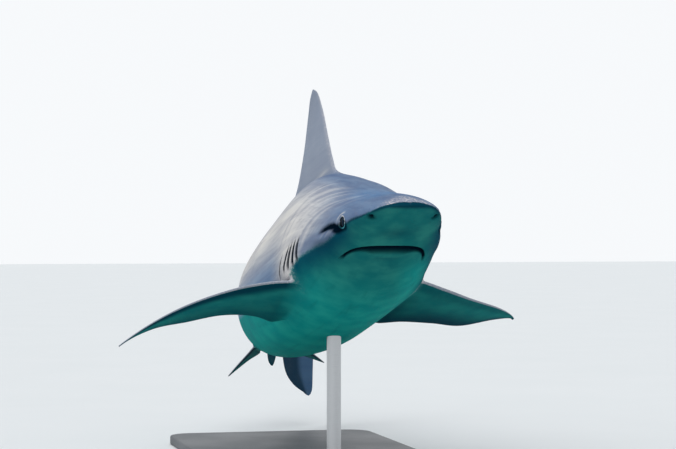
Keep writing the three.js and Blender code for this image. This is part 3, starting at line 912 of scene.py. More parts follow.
# %% Nostrils
for sign in (1, -1):
    off = base - body_point(NOSTRIL["y"], sign * NOSTRIL["angle"])
    far = np.linalg.norm(off, axis=-1)
    outward = normals.reshape(-1, 3)[far.argmin()]
    slant = np.array(NOSTRIL["slant"]) * (sign, 1, 1)
    slant = unit(slant - outward * (slant @ outward))
    forward = np.cross(slant, outward) * sign
    lengthwise, crosswise = off @ slant, off @ forward
    near = 1 - eased(far, 12, 17)
    pit = np.exp(-((lengthwise / NOSTRIL["length"]) ** 4) - (crosswise / NOSTRIL["width"]) ** 2) * near
    flap = bell(lengthwise - 1.0, 2.6) * bell(crosswise - 3.4, 2.2) * near
    rim = bell(np.hypot(lengthwise / 1.6, crosswise) - 6, 2.0) * near
    push += NOSTRIL["flap"] * flap + NOSTRIL["rim"] * rim - NOSTRIL["depth"] * pit * (1 - 0.5 * flap)
    # Painted shade darkens the nostril's pit.
    paint("painted_recess_shade", np.clip(1.5 * pit * (1 - 0.3 * flap), 0, 1))
print("nostrils at", np.round(body_point(NOSTRIL["y"], NOSTRIL["angle"])))

# %% [markdown]
# The eye sits in a round socket. The lid is a low rim of skin round it that rolls over onto
# the eyeball. A second fold under the eye is the third lid, which closes over it from below.
# The socket could be cut as a hole. Here one profile, read by the distance from the eye's
# centre, gives pit, lid and rim at once and leaves the skin closed behind the eyeball.

# %% Eye sockets and lids
EYE_FORWARD, OPENING_AHEAD, OPENING_UP, OPENING_LENGTH = 0.05, -1.9, 0.5, 1.12
LID_EDGE, LID_OUTSIDE = 9.0, 26.0
LID_PROFILE = smooth_through(
    [0, 4.5, 7.2, 8.4, 9.4, 10.8, 15, 20, LID_OUTSIDE],
    [-8, -7, -4.4, -1.4, 0.5, 0.9, -0.4, -0.2, 0],
)
OTHER_SIDE = 99.0
for sign in (1, -1):
    centre = body_point(EYE["y"], sign * EYE["angle"])
    off_y, off_z = y_grid - (centre[1] - OPENING_AHEAD), z_grid - (centre[2] + OPENING_UP)
    far = np.where(side_grid == sign, np.hypot(off_y / OPENING_LENGTH, off_z), OTHER_SIDE)
    low_part = np.clip(-off_z / (far + 1e-6), 0, 1)
    high_part = np.clip(off_z / (far + 1e-6), 0, 1)
    lid = LID_PROFILE(np.clip(far, 0, LID_OUTSIDE)) + 0.9 * high_part * bell(far - 11.4, 2.2)
    third_lid = bell(far - 14.6, 1.4) * low_part**0.5
    bag = bell(far - 18, 2) * low_part
    # The whole socket faces a little forward: its rear rim stands out, its front rim lies in.
    push += EYE_FORWARD * off_y * (1 - eased(far, 16, 40))
    push += np.where(far < LID_OUTSIDE, lid, 0) - 1.3 * third_lid + 0.9 * bag
print("eye opening:", 2 * LID_EDGE, "mm")

# %% [markdown]
# Behind the eye a groove runs back along the flank, over the swell of the jaw muscle. Both
# are soft bells across a line, faded out at their two ends.

# %% Groove and cheek
GROOVE_DEPTH, CHEEK_SWELL = 4.2, 3.0
GROOVE_PATH = np.array([
    # y, height of the groove
    (140, -13), (160, -9), (187, -7), (207, -9), (240, -13),
])
groove_line = np.interp(y_grid, *GROOVE_PATH.T)
groove_width = np.interp(y_grid, [175, 240], [5.5, 2.2])
groove = bell(z_grid - groove_line, groove_width) * between(y_grid, 142, 160, 195, 245)
cheek = bell(z_grid + 25, 9) * between(y_grid, 140, 175, 230, 275)
push += CHEEK_SWELL * cheek * (flank > 60) - GROOVE_DEPTH * groove
# Painted shade darkens the groove.
paint("painted_recess_shade", np.clip(1.7 * groove, 0, 1))
print("groove", GROOVE_DEPTH, "mm deep, cheek", CHEEK_SWELL, "mm proud")

# %% [markdown]
# Five gill slits stand on each side. The skin in front of a slit ends in a thin flap, drops
# into the slit and comes back up behind it to a raised lip, so that the slit gapes forward.
# One loop makes all five. The rows of the net already lean with them, so their edges stay
# crisp.

# %% Gill slits
FLAP_HEIGHT, SLIT_DEPTH, FAR_LIP_HEIGHT = 0.9, 5.5, 2.2
LAST_SLIT = dict(top=-12, low=-45, slope=2.0)


def slit_ends(number):
    """Upper end, lower end and slope of a slit. The last one leans twice as much."""
    if number == GILLS["count"] - 1:
        return LAST_SLIT["top"], LAST_SLIT["low"], LAST_SLIT["slope"]
    # The ends of the others lie on two shallow curves, lower from slit to slit.
    share = number / (GILLS["count"] - 1)
    return -2 - 9 * share**2, -38 - 18 * share + 12 * share**2, 1.0


for number, slit_y in enumerate(gill_places):
    top, low, slope = slit_ends(number)
    behind_slit = y_grid - slope * gill_lean(z_grid) - slit_y
    ends = between(z_grid, low - 5, low + 9, top - 14, top + 4) * (flank > 45)
    flap = edge_flap(behind_slit, 1.0, 6.0, 1.4)
    slit = between(behind_slit, -0.6, 0.8, 2.4, 6.5)
    far_lip = bell(behind_slit - 9.0, 4.5)
    push += ends * (FLAP_HEIGHT * flap - SLIT_DEPTH * slit + FAR_LIP_HEIGHT * far_lip)
    # Painted shade darkens the slit, and a painted highlight lies on its far lip.
    slit_shade = between(behind_slit, -1.0, 0.4, 5.6, 9.0)
    paint("painted_recess_shade", np.clip(1.5 * ends**0.6 * slit_shade, 0, 1))
    paint("pale", 0.5 * ends * bell(behind_slit - 11.0, 2.5))
print("gill slits per side:", GILLS["count"])

# %% [markdown]
# Softer forms: the shoulder swells where a pectoral fin joins it, a low ridge joins the two
# dorsal fins, a notch marks the start of the tail fin, and the belly has its vent. A muscle
# fills the back behind the head, and the side line runs along the flank as a fine groove.

# %% Soft forms of the body
SHOULDER_SWELL, RIDGE_HEIGHT, MUSCLE_SWELL = 9.0, 2.2, 2.0
NOTCH_DEPTH, VENT_DEPTH, SIDE_LINE_DEPTH = 4.0, 2.5, 0.5
shoulder = bell(y_grid - 425, 48) * bell(z_grid + 52, 24)
paint("pale", bell(y_grid - 406, 17) * bell(z_grid + 50, 18))
ridge = bell(x_grid, 4.5) * (z_grid > widest_height(y_grid)) * between(y_grid, 800, 840, 1110, 1130)
back_muscle = bell(flank - 22, 12) * between(y_grid, 240, 420, 480, 560)
notch = bell(y_grid - (BODY_END - 8), 6) * eased(-flank, -38, -14)
vent = bell(x_grid, 2.5) * bell(y_grid - 985, 16) * (flank > 150)
# Painted shade darkens the vent.
paint("painted_recess_shade", 0.35 * vent)
side_line = bell(flank - 72, 1.0) * between(y_grid, 330, 420, 1180, 1300)
push += SHOULDER_SWELL * shoulder + RIDGE_HEIGHT * ridge + MUSCLE_SWELL * back_muscle
push -= NOTCH_DEPTH * notch + VENT_DEPTH * vent + SIDE_LINE_DEPTH * side_line
skin_net = base + normals * push[..., None]
print("pushed out by up to", round(float(push.max()), 1), "mm, in by", round(float(-push.min()), 1))

# %% [markdown]
# The back is grey and the belly pale. The belly is painted a dark teal: its pale colour in
# painted shade and water light. shade is how far a point lies above the line between them, in
# millimetres. The line runs from the rim of the snout, under the eye, past the gills and down
# to the front of the pectoral fin, then along the flank to the tail. It could be painted on an
# image, but a distance stays sharp at any size, and the material can make its edge ragged.

# %% Line between back and belly
BACK_LINE = np.array([
    # y, angle from the top of the back
    (0, 0), (4, 5), (6, 15), (8, 42), (10, 60), (14, 72), (22, 83), (32, 88), (60, 91), (92, 92),
    (114, 96), (162, 105), (200, 107), (240, 104), (293, 102), (350, 102), (372, 105), (398, 111),
    (412, 118), (470, 122), (560, 118), (640, 106), (900, 108), (BODY_END, 112),
])
LEAST_SCALE = 0.35
shade_angle = smooth_through(*BACK_LINE.T)
above_line = shade_angle(y_grid) - flank
shade = above_line * np.maximum(section(y_grid)[2] * math.pi / 180, LEAST_SCALE)
print("most above the line:", round(float(shade.max())), "mm, below:", round(float(-shade.min())))

# %% [markdown]
# The rim of the snout is scuffed pale on top. Dusky shade lies just under the rim, along the
# line behind it, along the cheek, and in the hollow in front of the mouth. Most of them are a
# soft stretch along the body times a soft stretch round it.

# %% Scuffs and dusky places
snout = 1 - eased(y_grid, 70, 120)
paint("pale", 0.9 * (1 - eased(y_grid + 0.6 * np.abs(x_grid), 28, 60)) * eased(shade, -1, 3))
rim_shade = eased(-above_line, -3, 3) * (1 - eased(flank, 92, 126)) * (1 - eased(y_grid, 22, 60))
nose_shade = 1 - eased(y_grid, 2.5, np.where(flank > 90, 17.0, 6.5))
hollow = bell(np.hypot(0.7 * x_grid, y_grid - 92), 20) * (flank > 130)
paint("dusk", 0.88 * np.maximum(rim_shade, nose_shade))
paint("dusk", 0.9 * bell(shade + 1.5, 5.5) * between(y_grid, 30, 54, 104, 122))
paint("dusk", 0.5 * bell(shade - 3, 9) * between(y_grid, 150, 180, 230, 330))
paint("dusk", 0.44 * hollow)
print("dusky share of the skin:", round(float(painted["dusk"].mean()), 2))

# %% [markdown]
# Painted shade leaves the head and the ridge of the back slate, and painted light turns the
# flank light grey. Bands of painted highlight and shade sweep back and down from the top of the
# head towards the gills. The crown of the head and the low flank are bluer. Below the line,
# painted shadow lies near the line, and painted light brightens the belly towards its rear.

# %% Tints of the skin
SWEEP_RATE = 0.36
# Painted light on the flank; painted shade on the head, the ridge of the back and the low flank.
painted_flank_light = eased(y_grid, 130, 430) * eased(flank, 10, 64)
painted_flank_light = painted_flank_light * (1 - 0.8 * eased(flank, 80, 94) * (1 - eased(y_grid, 320, 370)))
painted_flank_light = painted_flank_light * (1 - 0.9 * eased(flank, 60, 96) * eased(y_grid, 430, 590))
# Painted shadow just below the line, and painted light on the left of the belly.
line_shadow = 0.30 + 0.58 * between(y_grid, 90, 130, 360, 420)
painted_left_light = 0.8 * eased(x_grid, 5, 80) * eased(y_grid, 150, 250)
# Bands of painted highlight and shade, swept back and down from the top of the head.
sweep = flank - SWEEP_RATE * y_grid
painted_light_bands = eased(flank, 14, 32) * (1 - eased(shade, 18, 4)) * between(y_grid, 100, 190, 430, 560)
crown = (1 - eased(flank, 18, 56)) * between(y_grid, 50, 110, 180, 300)
low_flank = eased(flank, 62, 98) * between(y_grid, 450, 600, 1000, 1300)
pores = np.maximum(snout, 0.6 * (1 - eased(y_grid, 120, 170)) * (flank > 110))
print("bands move", SWEEP_RATE, "degrees down for each mm back")

# %% [markdown]
# The tail fin carries the net on behind the body. In a shark the backbone runs up into the
# upper lobe, so the end of the body goes on inside the upper margin as a thick core, and the
# rest is a thin web. Core and web are added like the two sides of a right angle, which blends
# them without a crease.

# %% Tail fin
TAIL_UPPER = [(1323, 67), (1390, 80), (1500, 124), (1640, 196), (1755, 258), (1792, 275)]
TAIL_CORE = dict(half_width=32.0, half_height=44.0)
WEB_ROOT, WEB_TIP = 6.5, 1.6
TAIL_ROWS = 96
u_rows = np.linspace(0, 1, TAIL_ROWS + 1)[1:, None]
tail_angles = np.repeat(angle_grid[-1:], TAIL_ROWS, axis=0)
v_columns = (1 - np.cos(np.radians(tail_angles))) / 2
upper, lower = smooth_path(TAIL_UPPER)(u_rows[:, 0]), smooth_path(TAIL_LOWER)(u_rows[:, 0])
chord = np.linalg.norm(upper - lower, axis=-1)[:, None]
core_width = TAIL_CORE["half_width"] * (1 - u_rows) ** 1.4 + EDGE
core_height = np.minimum(chord / 2, TAIL_CORE["half_height"] * (1 - u_rows) ** 0.7 + EDGE)
web = WEB_ROOT + (WEB_TIP - WEB_ROOT) * np.sqrt(u_rows)
off_core = np.minimum(1, np.abs(v_columns * chord / core_height - 1))
thick = np.hypot(core_width * np.sqrt(1 - off_core**2), web * wing_section(v_columns))
thick = thick + edge_thickness(v_columns)
flat = upper[:, None] + (lower - upper)[:, None] * v_columns[..., None]
tail_net = np.stack([np.sign(tail_angles) * thick, flat[..., 0], flat[..., 1]], -1)
print("tail fin:", TAIL_ROWS, "rows, upper lobe to", TAIL_UPPER[-1])

# %% [markdown]
# The lower lobe of the tail is bluer, dark with painted shade in front and lighter behind, where
# painted light falls. The other masks ease from their values at the end of the body into one
# value for the whole tail.

# %% Tail masks
LOBE_FRONT = np.array([
    # z, y of the lower lobe's front margin
    (-181, 1440), (-154, 1388), (-129, 1351), (-80, 1326), (-22, 1323), (67, 1323),
])
LOBE_REAR, LOBE_END, TIP_FROM = 1470, 1480, 0.3
tail_y, tail_z = tail_net[..., 1], tail_net[..., 2]
in_lower_lobe = eased(-tail_z, -15, 85) * (tail_y < LOBE_END)
lobe_front = smooth_through(*LOBE_FRONT.T)(tail_z)
lobe_share = (tail_y - lobe_front) / (LOBE_REAR - lobe_front)
# Painted shade darkens the lower lobe, half as much towards its rear where painted light falls.
tail_dusk_and_painted_shade = in_lower_lobe * (1 - 0.5 * eased(lobe_share, 0.48, 0.72))
rear_edge = eased(v_columns, 0.86, 0.99) * (1 - in_lower_lobe) * (u_rows > TIP_FROM)
tail_dusk_and_painted_shade = np.maximum(tail_dusk_and_painted_shade, 0.6 * rear_edge)
tail_start = np.maximum(eased(tail_y, BODY_END, BODY_END + 110), eased(-tail_z, 5, 45))


def with_tail(values, tail_values):
    """The mask of the body, easing into that of the tail behind the body's end."""
    return np.concatenate([values, values[-1:] * (1 - tail_start) + tail_values * tail_start], axis=0)


skin_net = np.concatenate([skin_net, tail_net], axis=0)
masks = {
    "shade": with_tail(shade, 40),
    "painted_recess_shade": with_tail(painted["painted_recess_shade"], 0),
    "pale": with_tail(painted["pale"], 0),
    "dusk": with_tail(painted["dusk"], tail_dusk_and_painted_shade),
    "pores": with_tail(pores, 0),
    # Slate where painted light does not fall on the flank: painted shade on the body.
    "ridge": with_tail(1 - painted_flank_light, 0.6 + 0.4 * in_lower_lobe),
    "shadow": with_tail(line_shadow, 0.3),
    "blade": with_tail(np.zeros_like(push), 0.6),
    # Painted light brightens the belly towards its rear and on its left.
    "rear_belly": with_tail(np.maximum(eased(y_grid, 170, 470), painted_left_light), 1),
    "sweep": with_tail(sweep, 0),
    "painted_light_bands": with_tail(painted_light_bands, 0),
    "crown": with_tail(np.maximum(crown, 0.85 * low_flank), 0.9 * in_lower_lobe),
}
ROWS = skin_net.shape[0]
print("whole net:", ROWS, "x", COLUMNS)

# %% [markdown]
# A fin joins the body like a branch joins a trunk. A rectangle of faces is left out of the
# net where the fin stands. Each point of that rectangle's rim belongs to one lengthwise line
# of the fin. The line leaves the body along its surface, turns outward in a soft fillet and
# runs up the blade to the tip. A fin pushed into the body would leave a sharp crease round its
# root. Here no seam can show, because it is all one net.

# %% Mesh under construction
points = [skin_net.reshape(-1, 3)]
point_masks = {name: [values.reshape(-1)] for name, values in masks.items()}
faces = []
left_out = np.zeros((ROWS - 1, COLUMNS), bool)


def net_index(row, column):
    return row * COLUMNS + column % COLUMNS


def add_points(new_points, new_masks):
    """Adds points with their masks and returns the number of the first."""
    first = sum(map(len, points))
    points.append(new_points.reshape(-1, 3))
    for name, lists in point_masks.items():
        lists.append((new_masks[name] + np.zeros(new_points.shape[:-1])).reshape(-1))
    return first


print("points of the body and tail:", len(points[0]))

# %% Rim of a fin
NOSE_SHARE = 0.035


def rim_of(rows, columns):
    """The rim of a rectangle of the net, in order, with each point's v and face of the blade."""
    (top, bottom), (near, far) = rows, columns
    across = np.linspace(-1, 1, far - near + 1)
    nose, face = NOSE_SHARE * across**2, np.sign(across)
    straight = NOSE_SHARE + (1 - 2 * NOSE_SHARE) * np.linspace(0, 1, bottom - top + 1)
    rim = [(top, near + i, nose[i], face[i]) for i in range(far - near)]
    rim += [(top + i, far, straight[i], 1) for i in range(bottom - top)]
    rim += [(bottom, near + i, 1 - nose[i], face[i]) for i in range(far - near, 0, -1)]
    rim += [(top + i, near, straight[i], -1) for i in range(bottom - top, 0, -1)]
    return rim


print("the nose of a fin takes", NOSE_SHARE, "of its width")

# %% Lines of a fin
FILLET_ROWS, CLEAR_SHARE, CLEAR_STEPS, NEXT_STEP = 6, 0.7, 700, 0.01


def fin_layers(surface, v, side, rim_points, rim_normals, fillet, fin_rows):
    """The fin's points in layers from its root to its tip, and u of each (-1 to 0 in the fillet)."""
    # Where each line of the blade has cleared the body by the fillet's height.
    u = np.linspace(0, CLEAR_SHARE, CLEAR_STEPS)
    lines = surface(u[:, None] + 0 * v, v[None] + 0 * u[:, None], 0)
    start = u[np.argmax(is_outside(lines, fillet), axis=0)]
    blade_start = surface(start, v, side)
    gap = blade_start - rim_points
    distance = np.linalg.norm(gap, axis=-1, keepdims=True)
    leaving = distance * unit(gap - (gap * rim_normals).sum(-1, keepdims=True) * rim_normals)
    arriving = distance * unit(surface(start + NEXT_STEP, v, side) - blade_start)
    layers, shares = [], []
    for s in np.arange(1, FILLET_ROWS) / FILLET_ROWS:
        layers.append(cubic(s, rim_points, blade_start, leaving, arriving))
        shares.append(np.full(len(v), s - 1))
    for i in range(fin_rows + 1):
        along = start + (1 - start) * i / fin_rows
        layers.append(surface(along, v, side))
        shares.append(along)
    return np.array(layers), np.array(shares)


print("a fin's line has", FILLET_ROWS, "steps of fillet and then runs up the blade")

# %% Fin on the net
all_normals = np.concatenate([normals.reshape(-1, 3), np.zeros((TAIL_ROWS * COLUMNS, 3))])
ROOT_MARGIN = 0.8


def grow_fin(name, columns, far_side, fin_rows, colouring):
    """Joins a fin into the net. far_side is the blade's face (1 or -1) at the last column."""
    fin, surface = FINS[name]
    (front_y, _), (rear_y, _) = ROOTS[name]
    margin = fin["fillet"] * ROOT_MARGIN
    rows = np.searchsorted(row_places, (front_y - margin, rear_y + margin))
    left_out[rows[0]:rows[1], [c % COLUMNS for c in range(*columns)]] = True
    rim = rim_of(rows, columns)
    index = np.array([net_index(r, c) for r, c, _, _ in rim])
    v = np.array([item[2] for item in rim])
    side = np.array([item[3] for item in rim]) * far_side
    count = len(v)
    rim_points = np.concatenate(points)[index]
    layers, shares = fin_layers(
        surface, v, side, rim_points, all_normals[index], fin["fillet"], fin_rows
    )
    on_blade = np.clip(shares + 1, 0, 1)
    blade_masks = colouring(np.clip(shares, 0, 1), v[None] + 0 * shares, side[None] + 0 * shares)
    mixed = {
        key: np.concatenate(lists)[index] * (1 - on_blade) + blade_masks.get(key, 0) * on_blade
        for key, lists in point_masks.items()
    }
    first = add_points(layers, mixed)
    rings = np.concatenate([index[None], first + np.arange(len(layers) * count).reshape(-1, count)])
    for inner, outer in zip(rings[:-1], rings[1:]):
        for k in range(count):
            n = (k + 1) % count
            faces.append((inner[k], inner[n], outer[n], outer[k]))
    tip_masks = {key: values[-1].mean() for key, values in mixed.items()}
    tip = add_points(layers[-1].mean(0)[None], tip_masks)
    faces.extend((rings[-1][k], rings[-1][(k + 1) % count], tip) for k in range(count))
    print(name, "joined over rows", rows, "with", len(layers) * count, "points")


print("directions known for", len(all_normals), "points of the net")

# %% [markdown]
# How each fin is coloured: grey above and pale below on the paired fins, with a painted
# highlight on the upper front edge, a dark band of partly painted shade behind the lower front
# edge, painted shade towards the rear of the lower face, and dusky tips; plain grey with paler
# edges on the first dorsal fin, with a painted highlight along its base and painted shade behind
# it; and nearly black on the fin under the tail. u and v already say where a point lies on its
# blade, so no painting by hand is needed.

# %% Fin colours
def dorsal_colours(u, v, side):
    edges = np.maximum(bell(v, 0.045), 0.8 * bell(1 - v, 0.03))
    # A painted highlight along the base, and painted shade behind it near the root.
    painted_base_highlight = bell(u - 0.15, 0.05) * eased(v, 0.05, 0.25)
    dusk = np.maximum(0.16 * eased(u, 0.6, 1), 0.3 * bell(u - 0.06, 0.05) * eased(v, 0.3, 0.9))
    return {"shade": 60, "pale": 0.55 * edges, "dusk": dusk, "ridge": 0.7 - 0.7 * painted_base_highlight, "blade": 0.8}


def small_dorsal_colours(u, v, side):
    return {"shade": 60, "dusk": 0.3 * eased(u, 0.5, 1), "ridge": 0.8, "blade": 0.8}


def anal_colours(u, v, side):
    return {"shade": -10, "dusk": 0.95 * eased(u, 0.0, 0.15), "rear_belly": 1}


NOSE_TURN = 0.02


def paired_colours(u, v, side, front_band=0.9, rear_painted_shade=0.5):
    """Slate above and pale below, meeting under the front margin, with painted light and shade."""
    from_front, from_rear = side * v / NOSE_TURN + 1.2, side * (1 - v) / NOSE_TURN
    face = np.clip(np.where(v < 0.5, from_front, from_rear), -1, 1)
    lower = (face < 0) * 1.0
    # Partly painted shade in the band under the front margin, painted shade at the rear below.
    band = front_band * (1 - eased(v, 0.09, 0.27)) * eased(v, 0.012, 0.035) * lower
    tip = eased(u, 0.88, 1.0)
    # A painted highlight along the upper front edge.
    painted_edge_highlight = bell(v, 0.06) * (face > 0)
    return {
        "shade": 30 * face,
        "dusk": np.clip(band + (0.6 * tip + rear_painted_shade * eased(v, 0.25, 0.95)) * lower, 0, 1),
        "pale": 0.5 * painted_edge_highlight * (1 - 0.7 * u),
        "ridge": 0.65,
        "shadow": 0.3,
        "blade": 0.8,
        "rear_belly": 0.35,
    }


def left_pectoral_colours(u, v, side):
    return paired_colours(u, v, side, front_band=0.35, rear_painted_shade=0.9)


tip = dorsal_colours(1.0, 0.5, 1)
print("masks at a dorsal fin's tip:", {name: round(float(value), 2) for name, value in tip.items()})

# %% Fins grown
top_columns = (-RAILS[1], RAILS[1])
bottom_columns = (RAILS[4], 2 * SIDE_COLUMNS - RAILS[4])
left_columns = (RAILS[2], RAILS[3])
right_columns = (COLUMNS - RAILS[3], COLUMNS - RAILS[2])
for one_fin in (
    # name, columns, face of the blade at the last column, rows, colours
    ("dorsal", top_columns, 1, 34, dorsal_colours),
    ("dorsal_2", top_columns, 1, 12, small_dorsal_colours),
    ("anal", bottom_columns, -1, 12, anal_colours),
    ("pectoral_left", left_columns, -1, 44, left_pectoral_colours),
    ("pectoral_right", right_columns, 1, 44, paired_colours),
    ("pelvic_left", left_columns, -1, 16, paired_colours),
    ("pelvic_right", right_columns, 1, 16, paired_colours),
):
    grow_fin(*one_fin)

# %% Faces of the net
def row_means(row):
    """The mean of each mask over one row of the net."""
    return {name: values[row].mean() for name, values in masks.items()}


for row in range(ROWS - 1):
    for column in range(COLUMNS):
        if not left_out[row, column]:
            faces.append((
                net_index(row, column), net_index(row, column + 1),
                net_index(row + 1, column + 1), net_index(row + 1, column),
            ))
snout_tip = add_points(np.zeros((1, 3)), row_means(0))
tail_tip = add_points(skin_net[-1].mean(0)[None], row_means(-1))
for column in range(COLUMNS):
    faces.append((snout_tip, net_index(0, column + 1), net_index(0, column)))
    faces.append((tail_tip, net_index(ROWS - 1, column), net_index(ROWS - 1, column + 1)))
straight = np.concatenate(points)
print("skin:", len(straight), "points,", len(faces), "faces")

# %% [markdown]
# The points become a mesh. Masks are stored on it as named numbers, one for each point, and
# so is each point's place in the straight frame. A clean mesh has no loose points, no open
# edges, and faces that all look outward, so the volume is printed as a check.

# %% Mesh cleaner
def clean(mesh, merge=0.0):
    """Drops loose points, joins those closer than merge, and turns all faces outward."""
    shaped = bmesh.new()
    shaped.from_mesh(mesh)
    loose = [vertex for vertex in shaped.verts if not vertex.link_faces]
    bmesh.ops.delete(shaped, geom=loose, context="VERTS")
    if merge:
        bmesh.ops.remove_doubles(shaped, verts=shaped.verts, dist=merge)
    bmesh.ops.recalc_face_normals(shaped, faces=shaped.faces)
    open_edges = sum(not edge.is_manifold for edge in shaped.edges)
    litres = round(shaped.calc_volume(signed=True) * 1000, 3)
    shaped.to_mesh(mesh)
    shaped.free()
    mesh.polygons.foreach_set("use_smooth", [True] * len(mesh.polygons))
    print(mesh.name, "open edges:", open_edges, "litres:", litres)


def add_numbers(mesh, name, values):
    """Stores a number, or three, for each point of a mesh under a name."""
    values = np.asarray(values, np.float32)
    kind, key = ("FLOAT", "value") if values.ndim == 1 else ("FLOAT_VECTOR", "vector")
    mesh.attributes.new(name, kind, "POINT").data.foreach_set(key, values.ravel())


# %% Skin object
skin_mesh = bpy.data.meshes.new("shark_skin")
skin_mesh.from_pydata(posed(straight).tolist(), [], faces)
skin = add_object("shark_skin", skin_mesh)
for name, lists in point_masks.items():
    add_numbers(skin_mesh, name, np.concatenate(lists))
add_numbers(skin_mesh, "straight", straight / 1000)
clean(skin_mesh)
print("triangles:", sum(len(polygon.vertices) - 2 for polygon in skin_mesh.polygons))

# %% [markdown]
# Skin material. Its colours come from masks and from noise. The noise is drawn in the
# animal's straight frame, in metres, so that streaks follow the body round its bend. Noise
# that is stretched along the body gives streaks. They are left out on the blades of the fins.

# %% Grain and streaks
hide = Finish("shark_hide")
place = hide.add("Attribute", output="Vector", attribute_name="straight")
place_x, place_y, place_z = hide.axes(place)
fine = hide.noise(place, 260, 4)
middle = hide.noise(place, 26, 3, 0.45)
streaks = hide.noise(hide.stretched(place, (48, 3.2, 48)), 1.0, 4, 0.55)
thin_streaks = hide.noise(hide.stretched(place, (170, 8, 170)), 1.0, 4, 0.6)
streaky = hide.minus(1.0, hide.mask("blade"))
streaks = hide.plus(0.5, hide.times(hide.minus(streaks, 0.5), streaky))
print("skin nodes for grain and streaks:", len(hide.tree.nodes))

# %% [markdown]
# The back is slate on the ridge, in painted shade, and light grey where painted light falls on
# the flank, and its crown is bluer. Swept noise is read at places that move down as they move
# back, so its bands of painted highlight and shade run from the top of the head to the gills.
# Thin light and dark streaks lie on top.

# %% Colours of the back
BAND_SCALE = (0.115, 5.0, 2.0)
slate_streaks = hide.ramp(streaks, 0.34, 0.68)
flank_tone = hide.mix(hide.ramp(streaks, 0.30, 0.70), colour(190, 189, 191), colour(220, 217, 212))
ridge_tone = hide.mix(slate_streaks, colour(88, 109, 142), colour(104, 127, 158))
crown_tone = hide.mix(slate_streaks, colour(62, 116, 166), colour(82, 134, 178))
ridge_tone = hide.mix(hide.times(hide.mask("crown"), 0.5), ridge_tone, crown_tone)
# Painted light and shade: light grey on the lit flank, slate elsewhere.
back_tone = hide.mix(hide.mask("ridge"), flank_tone, ridge_tone)
band_axes = zip("XYZ", (hide.mask("sweep"), place_y, place_x), BAND_SCALE)
band_place = hide.add("CombineXYZ", {axis: hide.times(value, scale) for axis, value, scale in band_axes})
swept = hide.noise(band_place, 1.0, 3, 0.45)
on_flank = hide.times(streaky, hide.ramp(hide.mask("ridge"), 0.9, 0.3, 0.1, 1.0))
# Bands of painted highlight and shade, then thin streaks of the skin itself.
for strength, region, shown in (
    # how strongly it shows, where, and its colour
    (hide.ramp(swept, 0.48, 0.72, 0.0, 0.40), hide.mask("painted_light_bands"), colour(214, 212, 212)),
    (hide.ramp(swept, 0.50, 0.28, 0.0, 0.40), hide.mask("painted_light_bands"), colour(112, 120, 146)),
    (hide.ramp(thin_streaks, 0.50, 0.72, 0.0, 0.26), on_flank, colour(232, 229, 224)),
    (hide.ramp(thin_streaks, 0.48, 0.30, 0.0, 0.28), streaky, colour(122, 124, 140)),
):
    back_tone = hide.mix(hide.times(strength, region), back_tone, shown)
print("skin nodes with the back:", len(hide.tree.nodes))

# %% [markdown]
# The belly is mottled, and painted light brightens it towards its rear and on its left. Where
# it meets the back, the line is ragged by a few millimetres, and just below the line painted
# shadow darkens the belly. Scuffs and painted highlights, dusky places and painted shade, and
# the painted shade of the slits are laid over both.

# %% Colours of the belly and the line
mottled = hide.ramp(middle, 0.30, 0.72)
# The belly's teal is its pale colour in painted shade and water light.
belly_tone = hide.mix(mottled, colour(21, 104, 105), colour(42, 124, 117))
# Painted light: a brighter teal towards the rear of the belly.
rear_belly = hide.mix(mottled, colour(15, 150, 146), colour(36, 166, 156))
belly_tone = hide.mix(hide.mask("rear_belly"), belly_tone, rear_belly)
belly_tone = hide.mix(hide.ramp(streaks, 0.46, 0.28, 0.0, 0.25), belly_tone, colour(10, 88, 94))
ragged = hide.plus(hide.times(hide.minus(fine, 0.5), 12.0), hide.times(hide.minus(streaks, 0.5), 10.0))
line = hide.plus(hide.mask("shade"), ragged)
is_back = hide.ramp(line, -7.0, 6.0)
tone = hide.mix(is_back, belly_tone, back_tone)
# Painted shadow just below the line.
near_line = hide.times(hide.ramp(line, -75.0, -6.0), hide.minus(1.0, is_back), hide.mask("shadow"))
tone = hide.mix(near_line, tone, colour(0, 60, 84))
# Pale scuffs on the snout, and painted highlights on the gill lips and the fins' upper edges.
flecks = hide.plus(hide.times(hide.ramp(fine, 0.52, 0.60), 0.62), 0.20)
tone = hide.mix(hide.times(hide.mask("pale"), flecks), tone, colour(222, 214, 212))
# Dusky places, partly painted shade: under the rim, along the line, on the cheek, in hollows.
tone = hide.mix(hide.times(hide.mask("dusk"), 0.97), tone, colour(4, 46, 68))
# Painted shade in the mouth, the nostrils, the groove, the gill slits and the vent.
tone = hide.mix(hide.mask("painted_recess_shade"), tone, colour(3, 20, 34))
print("skin nodes with the belly and the line:", len(hide.tree.nodes))

# %% [markdown]
# Paint round the eyes is placed by the distance from the eye's centre, along and across the
# flank: a painted shadow under and behind the eye, a pale ring on the lid that is bluer below
# and brightest at the front, where painted light falls, a light brow above, and a dark inside of
# the lids. Masks on the points would blur rings this thin, so the distance is worked out in the
# material itself.

# %% Paint round the eyes
SHADOW_PATCH = dict(behind=19.0, length=23.0, below=8.5, height=8.5)
eye_height = body_point(EYE["y"], EYE["angle"])[2] + OPENING_UP
eye_y = hide.minus(hide.times(place_y, 1000.0), EYE["y"] - OPENING_AHEAD)
eye_z = hide.minus(hide.times(place_z, 1000.0), eye_height)
eye_far = hide.length(hide.math("DIVIDE", eye_y, OPENING_LENGTH), eye_z)
patch_y = hide.math("DIVIDE", hide.minus(eye_y, SHADOW_PATCH["behind"]), SHADOW_PATCH["length"])
patch_z = hide.math("DIVIDE", hide.plus(eye_z, SHADOW_PATCH["below"]), SHADOW_PATCH["height"])
shadow_patch = hide.ramp(hide.length(patch_y, patch_z), 1.30, 0.55)
shadow_ring = hide.times(hide.ramp(eye_far, 15.5, 11.5), hide.ramp(eye_z, 4.0, -3.0))
